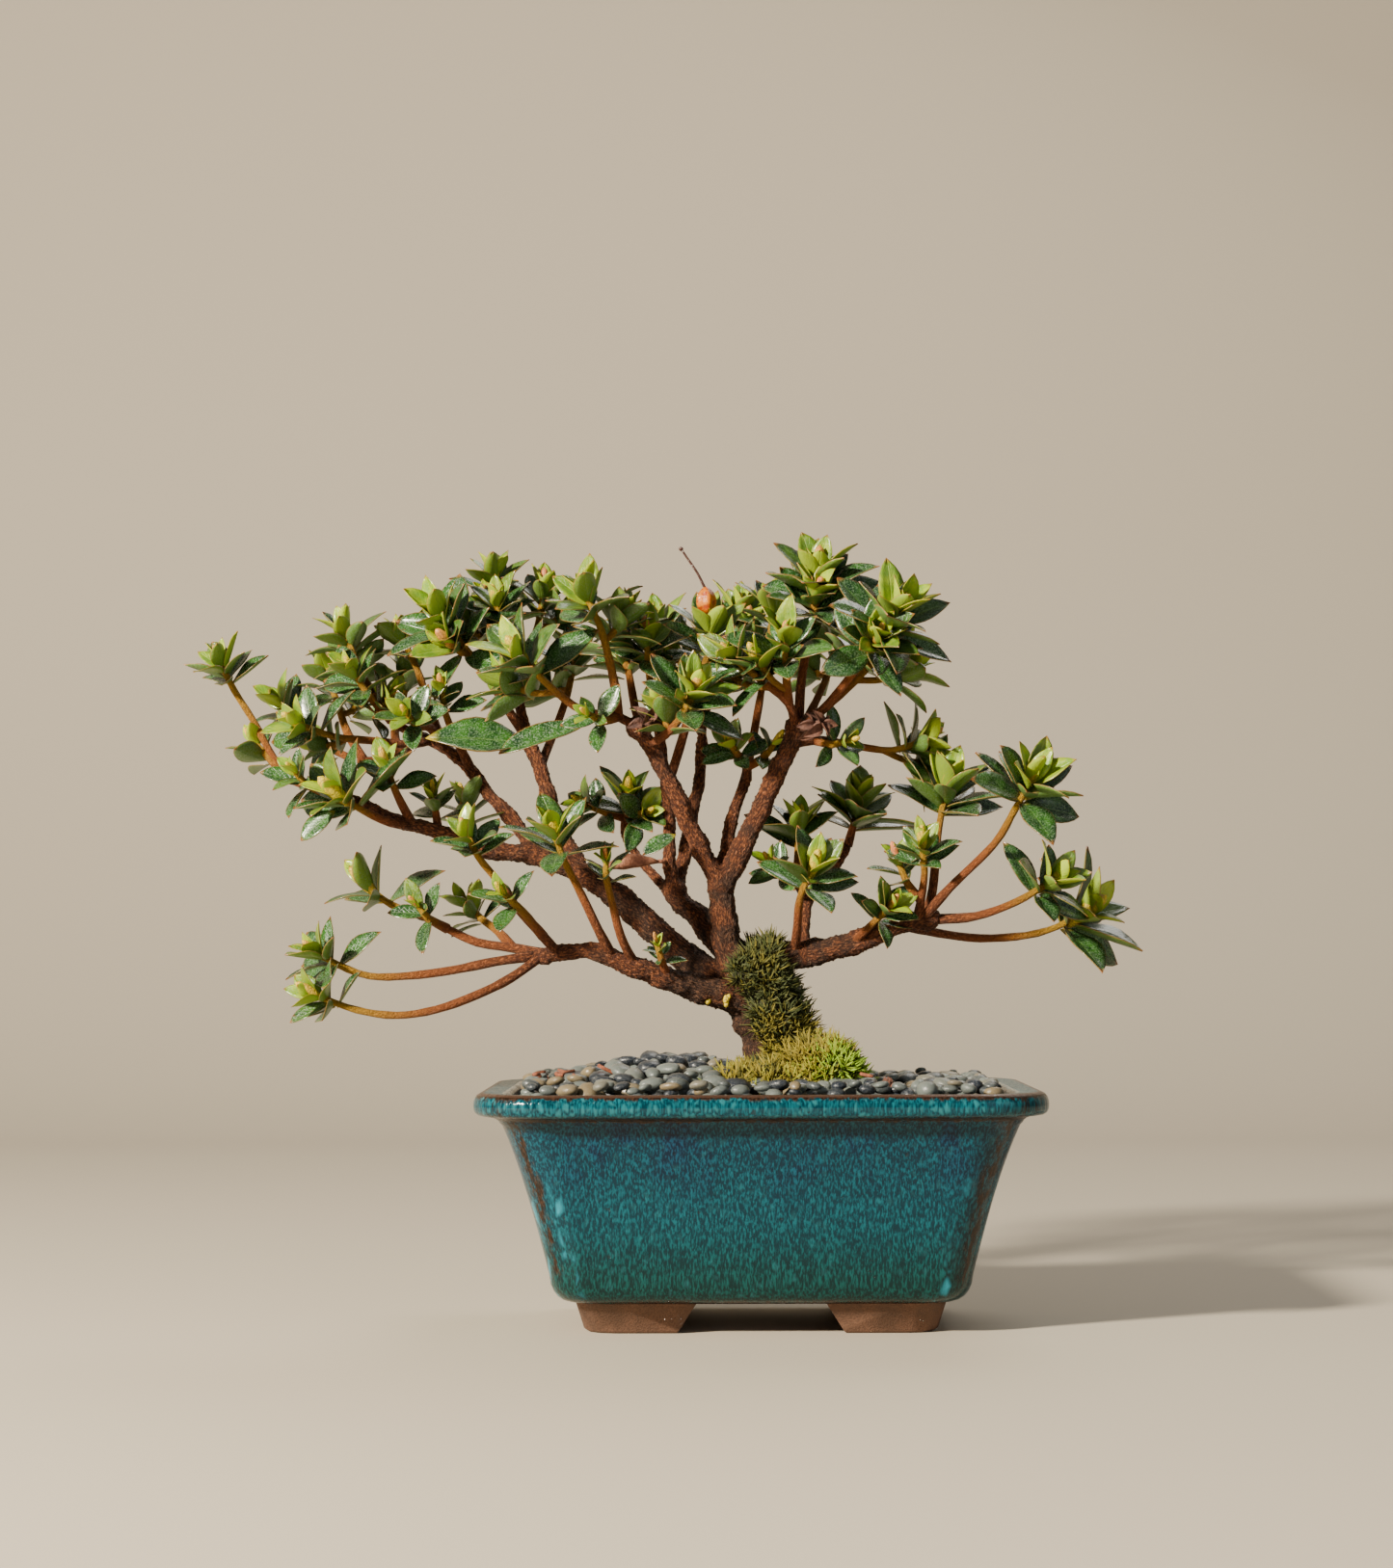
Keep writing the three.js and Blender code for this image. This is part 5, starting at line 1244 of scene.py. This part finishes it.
def make_moss(name, node, moss, count, length, seed, shrink, cushions=()):
    """A packed moss piece, broken up into uneven tufts, with more cushions where they are given."""
    build = Build()
    bm = build.bm
    bm.from_mesh(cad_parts[node].data)
    bmesh.ops.transform(bm, matrix=TO_ROW.inverted(), verts=bm.verts)
    bmesh.ops.remove_doubles(bm, verts=bm.verts, dist=0.01)
    bmesh.ops.subdivide_edges(bm, edges=bm.edges, cuts=2, use_grid_fill=True)
    soften(bm, 3)
    for middle, size in cushions:
        place = Matrix.Translation(middle) @ Matrix.Diagonal((*size, 1))
        bmesh.ops.create_icosphere(bm, subdivisions=4, radius=1, matrix=place)
    bm.normal_update()
    for vert in bm.verts:
        lump = 3.4 * noise.noise(vert.co * 0.13) + 1.6 * noise.noise(vert.co * 0.4)
        vert.co += vert.normal * (lump - shrink)
        vert[build.tone] = moss_hue(vert.co)
        vert[build.side] = 0.1
    rng = random.Random(seed)
    bmesh.ops.triangulate(bm, faces=bm.faces)
    ground = [(face.calc_area(), [vert.co.copy() for vert in face.verts], face.normal.copy())
              for face in bm.faces if face.calc_center_median().z > BED_HEIGHT]
    template = sprig_template()
    picked = rng.choices(ground, weights=[area for area, _, _ in ground], k=count)
    for _, (a, b, c), normal in picked:
        u, v = sorted((rng.random(), rng.random()))
        spot = a * u + b * (v - u) + c * (1 - v)
        grow = (normal + Vector((rng.uniform(-0.6, 0.6), rng.uniform(-0.6, 0.6), 0.6))).normalized()
        size = length * rng.uniform(0.5, 1.35)
        turn = grow.to_track_quat("Z", "Y") @ Quaternion((0, 0, 1), rng.uniform(0, FULL_TURN))
        place = Matrix.LocRotScale(spot, turn, Vector((size, size, size * 1.2)))
        build.stamp(template, place, min(max(moss_hue(spot) + rng.uniform(-0.15, 0.15), 0), 1))
    return build.finish(name, [moss], [node])


# ---- Wood ----------------------------------------------------------------------------------------
def limb_age(radius):
    """How old the bark of a limb is, from its radius in millimetres."""
    return min(max((radius - 1.2) / 7, 0), 1)


def make_wood(bark):
    """The trunk, roots and limbs, swept along their points, joined by remeshing and roughened."""
    build = Build()
    lines = []
    for _, start, end, points in LIMBS:
        path = smooth_path(points, 3)
        radii = [lerp(start, end, i / (len(path) - 1)) * LIMB_THINNING for i in range(len(path))]
        sweep(build, path, radii, 12 if start > 4 else 9)
        lines += zip(path, radii, frames(path))
    for place, radius in KNOTS:
        knot = bmesh.ops.create_icosphere(build.bm, subdivisions=2, radius=radius)["verts"]
        bmesh.ops.translate(build.bm, vec=Vector(place), verts=knot)
    bmesh.ops.recalc_face_normals(build.bm, faces=build.bm.faces)
    rough = bpy.data.meshes.new("rough wood")
    build.bm.to_mesh(rough)
    build.bm.free()
    body = bpy.data.objects.new("rough wood", rough)
    bpy.context.scene.collection.objects.link(body)
    remesh = body.modifiers.new("Grow together", "REMESH")
    remesh.mode = "VOXEL"
    remesh.voxel_size = BARK_VOXEL
    evaluated = body.evaluated_get(bpy.context.evaluated_depsgraph_get())
    grown = Build()
    grown.bm.from_mesh(evaluated.to_mesh())
    bpy.data.objects.remove(body)
    tree = KDTree(len(lines))
    for index, (point, _, _) in enumerate(lines):
        tree.insert(point, index)
    tree.balance()
    bm = grown.bm
    soften(bm, 2)
    bm.normal_update()
    for vert in bm.verts:
        _, index, _ = tree.find(vert.co)
        point, radius, (turn, along) = lines[index]
        age = limb_age(radius)
        grain = grain_at(vert.co, point, turn, along)
        vert[grown.grain] = grain
        lump = noise.noise(vert.co * 0.16) * (0.6 + 1.3 * age)
        ridge = noise.noise(grain * 0.9) * (0.1 + 0.2 * age)
        flake = max(noise.noise(grain * 2.2 + Vector((9, 4, 2))), 0) * (0.5 + 0.8 * age)
        vert.co += vert.normal * (lump + ridge + flake)
        vert[grown.tone] = min(0.3 + 0.8 * age, 1)
    return grown.finish("wood", [bark], ["trunk_and_limbs"], recalculate=False)


def make_pale_scales(bud):
    """A cluster of cream bud scales on the left limb, beside the moss."""
    build = Build()
    for index in range(BUD_SCALES):
        off = Vector((8 * (chance(index, 1) - 0.5), chance(index, 2), 5 * (chance(index, 3) - 0.5)))
        spot = BUD_SCALES_PLACE + off
        radius = 0.7 + 0.5 * chance(index, 4)
        scale = bmesh.ops.create_icosphere(build.bm, subdivisions=2, radius=radius)["verts"]
        place = Matrix.Translation(spot) @ Matrix.Diagonal((1, 0.7, 1.2, 1))
        bmesh.ops.transform(build.bm, matrix=place, verts=scale)
    return build.finish("cream_bud_scales", [bud], [])


# ---- Leafy shoots --------------------------------------------------------------------------------
def leaf_outline(share):
    """Half the leaf's width at a share of its length."""
    return 0.5 * math.sin(math.pi * share**1.08) ** 0.82


def leaf_template(fold, bend):
    """A leaf one unit long and one wide, lying along +Y, folded at its midrib and bent down at its tip."""
    build = Build()
    bm = build.bm
    across, along = LEAF_SEGMENTS
    made = bmesh.ops.create_grid(bm, x_segments=across, y_segments=along, size=0.5, calc_uvs=True)["verts"]
    for vert in made:
        across, along = vert.co.x * 2, vert.co.y + 0.5
        half = leaf_outline(min(max(along, 0), 1))
        lift = fold * abs(across) ** 1.4 * half - bend * along**2 + 0.012 * math.sin(along * 9) * across
        vert.co = Vector((across * half, along, lift))
        vert[build.side] = 1
    faces = list(bm.faces)
    top = verts_of(bmesh.ops.extrude_face_region(bm, geom=faces, use_keep_orig=True)["geom"])
    bmesh.ops.translate(bm, vec=Vector((0, 0, LEAF_THICKNESS)), verts=top)
    for vert in top:
        vert[build.side] = 0
    bmesh.ops.remove_doubles(bm, verts=bm.verts, dist=1e-4)
    return build.as_template("leaf")


def leaf_place(base, direction, normal, length, width):
    """Where a leaf goes that grows from a base in a direction, with its top facing the normal."""
    side = direction.cross(normal).normalized()
    normal = side.cross(direction)
    turn = Matrix((side, direction, normal)).transposed().to_4x4()
    return Matrix.Translation(base) @ turn @ Matrix.Diagonal((width, length, length, 1))


def add_head(build, templates, path, longest, count, seed):
    """A whorl of leaves at a twig's end: old dark ones spread wide, young bright ones upright."""
    longest *= LEAF_GROWTH
    end = path[-1]
    axis = ((end - path[max(len(path) - 4, 0)]).normalized() + LIGHT * 0.55).normalized()
    across = Vector((0.3, 1, 0.2)).cross(axis).normalized()
    total = round(count * LEAF_SHARE)
    for index in range(total):
        age = 1 - index / (total - 1)
        length = longest * (0.52 + 0.48 * math.sqrt(age)) * (0.82 + 0.32 * chance(seed, index))
        lean = math.radians(14 + 66 * age + 16 * (chance(index, seed) - 0.5))
        base = end - axis * LEAF_SPREAD * age * 0.9
        outward = Quaternion(axis, index * GOLDEN_ANGLE + seed * 2.1) @ across
        direction = axis * math.cos(lean) + outward * math.sin(lean)
        normal = (axis - direction * axis.dot(direction)).normalized()
        normal = Quaternion(direction, (chance(seed + 5, index) - 0.5) * 0.9) @ normal
        width = length * (0.40 + 0.13 * chance(seed + 3, index))
        template = templates[(index * 3 + seed) % len(templates)]
        youth = min(max(0.95 - 1.5 * age + 0.5 * (chance(seed + 9, index) - 0.5), 0), 1)
        build.stamp(template, leaf_place(base, direction, normal, length, width), youth)
    bud = bmesh.ops.create_uvsphere(build.bm, u_segments=7, v_segments=5, radius=1)["verts"]
    size = BUD_SIZE * (longest / USUAL_LEAF) * (0.8 + 0.5 * chance(seed, 41))
    place = Matrix.LocRotScale(end + axis * 3.6, axis.to_track_quat("Z", "Y"), size)
    bmesh.ops.transform(build.bm, matrix=place, verts=bud)
    build.paint(bud, chance(seed, 40) ** 2)
    mark_material(bud, 2)


def add_companion(build, templates, path, longest, count, seed):
    """A second head on a short side twig, lower and to one side of the first."""
    start = path[max(len(path) - 5, 0)]
    angle = FULL_TURN * chance(seed, 1)
    reach = Vector((12 * math.cos(angle), 6 + 9 * math.sin(angle), -5 - 5 * chance(seed, 2)))
    end = path[-1] + reach
    twig = smooth_path([start, lerp(start, end, 0.5) + Vector((0, 0, -1.5)), end], 3)
    radii = [TWIG_RADIUS * 1.1] * len(twig)
    sweep(build, twig, radii, 8, [0.12 * (1 - i / len(twig)) for i in range(len(twig))], 1)
    add_head(build, templates, twig, longest, count, seed)


def make_shoot(name, heads, seed, templates, leaf, bark, bud):
    """One shoot: a stem for each head, redder and thicker where it leaves its limb."""
    build = Build()
    for index, (points, longest, count) in enumerate(heads):
        path = smooth_path(points, 4)
        length = len(path) - 1
        radii = [lerp(TWIG_RADIUS + TWIG_TAPER, TWIG_RADIUS, i / length)
                 + 0.22 * (chance(seed + i, index) - 0.5) for i in range(length + 1)]
        tones = [lerp(0.34, 0.0, (i / length) ** 1.1) for i in range(length + 1)]
        if index:
            tones = [tone * 0.6 for tone in tones]
        sweep(build, path, radii, 8, tones, 1)
        add_head(build, templates, path, longest, count, seed * 3 + index)
        if path[-1].z > CROWN_HEIGHT and longest > 17:
            add_companion(build, templates, path, longest * 0.86, count, seed * 3 + index + 200)
    return build.finish(f"leafy_{name}", [leaf, bark, bud], [f"shoot_{name}"], recalculate=False)


def make_lone_leaves(templates, leaf):
    """Last year's big dark leaves, seen flat on from the front."""
    build = Build()
    for index, (base, tip, width) in enumerate(LONE_LEAVES):
        base, tip = vectors((base, tip))
        direction = (tip - base).normalized()
        place = leaf_place(base, direction, Vector((0, -0.75, 0.66)), (tip - base).length, width)
        build.stamp(templates[index % 2], place, 0.02)
    return build.finish("last_years_leaves", [leaf], [], recalculate=False)


# ---- Withered bits and the seed pod --------------------------------------------------------------
def make_bloom(name, stub, longest, count, seed, withered):
    """The shrivelled scales left where a flower stood."""
    build = Build()
    template = leaf_template(0.7, 0.35)
    path = smooth_path(stub, 3)
    sweep(build, path, [1.7] * len(path), 8, [0.1] * len(path))
    end = path[-1]
    axis = (path[-1] - path[0]).normalized()
    across = axis.orthogonal().normalized()
    for index in range(count):
        age = index / count
        outward = Quaternion(axis, index * GOLDEN_ANGLE) @ across
        lean = math.radians(25 + 95 * chance(index, seed))
        direction = axis * math.cos(lean) + outward * math.sin(lean)
        normal = (axis - direction * axis.dot(direction)).normalized()
        length = longest * (0.6 + 0.4 * chance(seed, index))
        place = leaf_place(end - axis * 5 * age, direction, normal, length, length * 0.55)
        build.stamp(template, place, 0.3 * chance(index, 7))
    return build.finish(f"{name}_scales", [withered], [name], recalculate=False)


def make_dry_leaf(withered):
    """A dead leaf rolled in on itself, hanging out level from its stalk."""
    build = Build()
    stalk = smooth_path(DRY_LEAF[:2], 3)
    sweep(build, stalk, [0.8] * len(stalk), 7, [0.9] * len(stalk))
    start, tip = vectors(DRY_LEAF[1:])
    middle = lerp(start, tip, 0.6) + Vector((0, 0, 1.2))
    path = smooth_path([start, middle, tip], 1.5)
    span = len(path) - 1
    radii = [0.5 + 2.9 * math.sin(math.pi * (i / span) ** 1.5) ** 0.8 * (1 - 0.3 * i / span)
             for i in range(span + 1)]
    made = sweep(build, path, radii, 12, [0.8] * len(path))
    for vert in made:
        vert.co += Vector((0, 0, 1)) * 0.5 * noise.noise(vert.co * 0.35)
        vert.co.y += 0.4 * noise.noise(vert.co * 0.8)
    return build.finish("rolled_dry_leaf", [withered], ["dry_leaf"])


def make_pod(pod):
    """A ribbed capsule drawn out to a thin curved style with a knob at its tip."""
    build = Build()
    body = bmesh.ops.create_uvsphere(build.bm, u_segments=30, v_segments=16, radius=1)["verts"]
    for vert in body:
        rib = 1 + 0.09 * math.cos(5 * math.atan2(vert.co.y, vert.co.x))
        pinch = 1 - 0.35 * max(vert.co.z, 0) ** 2
        vert.co = Vector((vert.co.x * rib * pinch * 3.7, vert.co.y * rib * pinch * 3.7, vert.co.z * 5.2))
    bmesh.ops.translate(build.bm, vec=Vector(POD_MIDDLE), verts=body)
    path = smooth_path(POD_STYLE, 1.5)
    sweep(build, path, [0.55 - 0.15 * i / len(path) for i in range(len(path))], 8, [1] * len(path))
    knob = bmesh.ops.create_icosphere(build.bm, subdivisions=2, radius=0.85)["verts"]
    bmesh.ops.translate(build.bm, vec=path[-1], verts=knob)
    build.paint(knob, 1)
    return build.finish("seed_capsule", [pod], ["seed_pod"])


# ---- Floor, light and camera ---------------------------------------------------------------------
def make_studio():
    """A pale floor that curves up into a backdrop."""
    bm = bmesh.new()
    line = [Vector((-FLOOR_HALF_WIDTH, FLOOR_FRONT, 0)), Vector((-FLOOR_HALF_WIDTH, FLOOR_BACK, 0))]
    for step in range(1, COVE_STEPS + 1):
        angle = step * math.pi / (2 * COVE_STEPS)
        line.append(Vector((-FLOOR_HALF_WIDTH, FLOOR_BACK + COVE_RADIUS * math.sin(angle),
                            COVE_RADIUS - COVE_RADIUS * math.cos(angle))))
    line.append(Vector((-FLOOR_HALF_WIDTH, FLOOR_BACK + COVE_RADIUS, BACKDROP_HEIGHT)))
    verts = [bm.verts.new(point) for point in line]
    edges = [bm.edges.new(pair) for pair in zip(verts, verts[1:])]
    made = bmesh.ops.extrude_edge_only(bm, edges=edges)["geom"]
    bmesh.ops.translate(bm, vec=Vector((2 * FLOOR_HALF_WIDTH, 0, 0)), verts=verts_of(made))
    bmesh.ops.recalc_face_normals(bm, faces=bm.faces)
    for face in bm.faces:
        face.smooth = True
    mesh = bpy.data.meshes.new("studio floor")
    bm.to_mesh(mesh)
    bm.free()
    mesh.materials.append(studio_material("pale floor", linear(0.47, 0.415, 0.33)))
    floor = bpy.data.objects.new("studio_floor", mesh)
    bpy.context.scene.collection.objects.link(floor)


def add_lamp(name, place, size, power, tint):
    lamp = bpy.data.lights.new(name, "AREA")
    lamp.shape = "DISK"
    lamp.size = size
    lamp.energy = power
    lamp.color = tint
    body = bpy.data.objects.new(name, lamp)
    body.location = place
    body.rotation_euler = (LAMP_TARGET - body.location).to_track_quat("-Z", "Y").to_euler()
    bpy.context.scene.collection.objects.link(body)


def make_light():
    for name, (place, size, power, tint) in LAMPS.items():
        add_lamp(name, place, size, power, tint)
    world = bpy.data.worlds.new("studio")
    world.use_nodes = True
    shade = world.node_tree.nodes["Background"]
    shade.inputs["Color"].default_value = linear(0.88, 0.88, 0.86)
    shade.inputs["Strength"].default_value = 0.2
    bpy.context.scene.world = world


def make_camera():
    """Level with the crown, a little left of the pot's middle, tilted up slightly."""
    lens = bpy.data.cameras.new("camera")
    lens.lens = CAMERA_LENS
    lens.sensor_width = SENSOR_WIDTH
    lens.sensor_fit = "AUTO"
    place = Vector(CAMERA)
    yaw = math.atan2(-place.y, -place.x) + math.radians(CAMERA_TURN)
    tilt = math.radians(CAMERA_TILT)
    forward = Vector((math.cos(yaw) * math.cos(tilt), math.sin(yaw) * math.cos(tilt), math.sin(tilt)))
    right = forward.cross(Vector((0, 0, 1))).normalized()
    up = right.cross(forward)
    roll = math.radians(CAMERA_ROLL)
    right, up = right * math.cos(roll) - up * math.sin(roll), up * math.cos(roll) + right * math.sin(roll)
    turn = Matrix((right, up, -forward)).transposed().to_4x4()
    camera = bpy.data.objects.new("camera", lens)
    camera.matrix_world = Matrix.Translation(TO_ROW @ place) @ turn
    bpy.context.scene.collection.objects.link(camera)
    bpy.context.scene.camera = camera


# ---- Assembly ------------------------------------------------------------------------------------
def dress_hidden_nodes(earth, plastic):
    """The packed soil and drain screens stay as they are, with their own finish."""
    for node, material in (("soil", earth), ("drain_screen_left", plastic), ("drain_screen_right", plastic)):
        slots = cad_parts[node].material_slots
        for slot in slots:
            slot.material = material


make_camera()
make_light()
make_studio()

leaf, bark, bud = leaf_material(), bark_material(), bud_material()
withered, moss = withered_material(), moss_material()
gravel = earth_material("gravel", linear(0.010, 0.009, 0.008), linear(0.05, 0.045, 0.04), 380)
earth = earth_material("potting mix", linear(0.025, 0.015, 0.009), linear(0.10, 0.06, 0.035), 300)

make_pot(glaze_material(), lip_material(), clay_material())
make_pebbles(pebble_material(), gravel, litter_material())
make_moss("moss_mound_sprigs", "moss_mound", moss, MOUND_SPRIGS, 2.5, 3, 1.5, MOSS_CUSHIONS)
make_moss("moss_trunk_sprigs", "moss_on_trunk", moss, TRUNK_SPRIGS, 2.4, 5, 2.6)
make_wood(bark)
make_pale_scales(bud)
leaf_shapes = [leaf_template(fold, bend) for fold, bend in LEAF_SHAPES]
for index, (name, heads) in enumerate(SHOOTS.items()):
    make_shoot(name, heads, index, leaf_shapes, leaf, bark, bud)
make_lone_leaves(leaf_shapes, leaf)
for index, (name, (stub, longest, count)) in enumerate(BLOOMS.items()):
    make_bloom(name, stub, longest, count, index + 20, withered)
make_dry_leaf(withered)
make_pod(pod_material())
dress_hidden_nodes(earth, plastic_material())
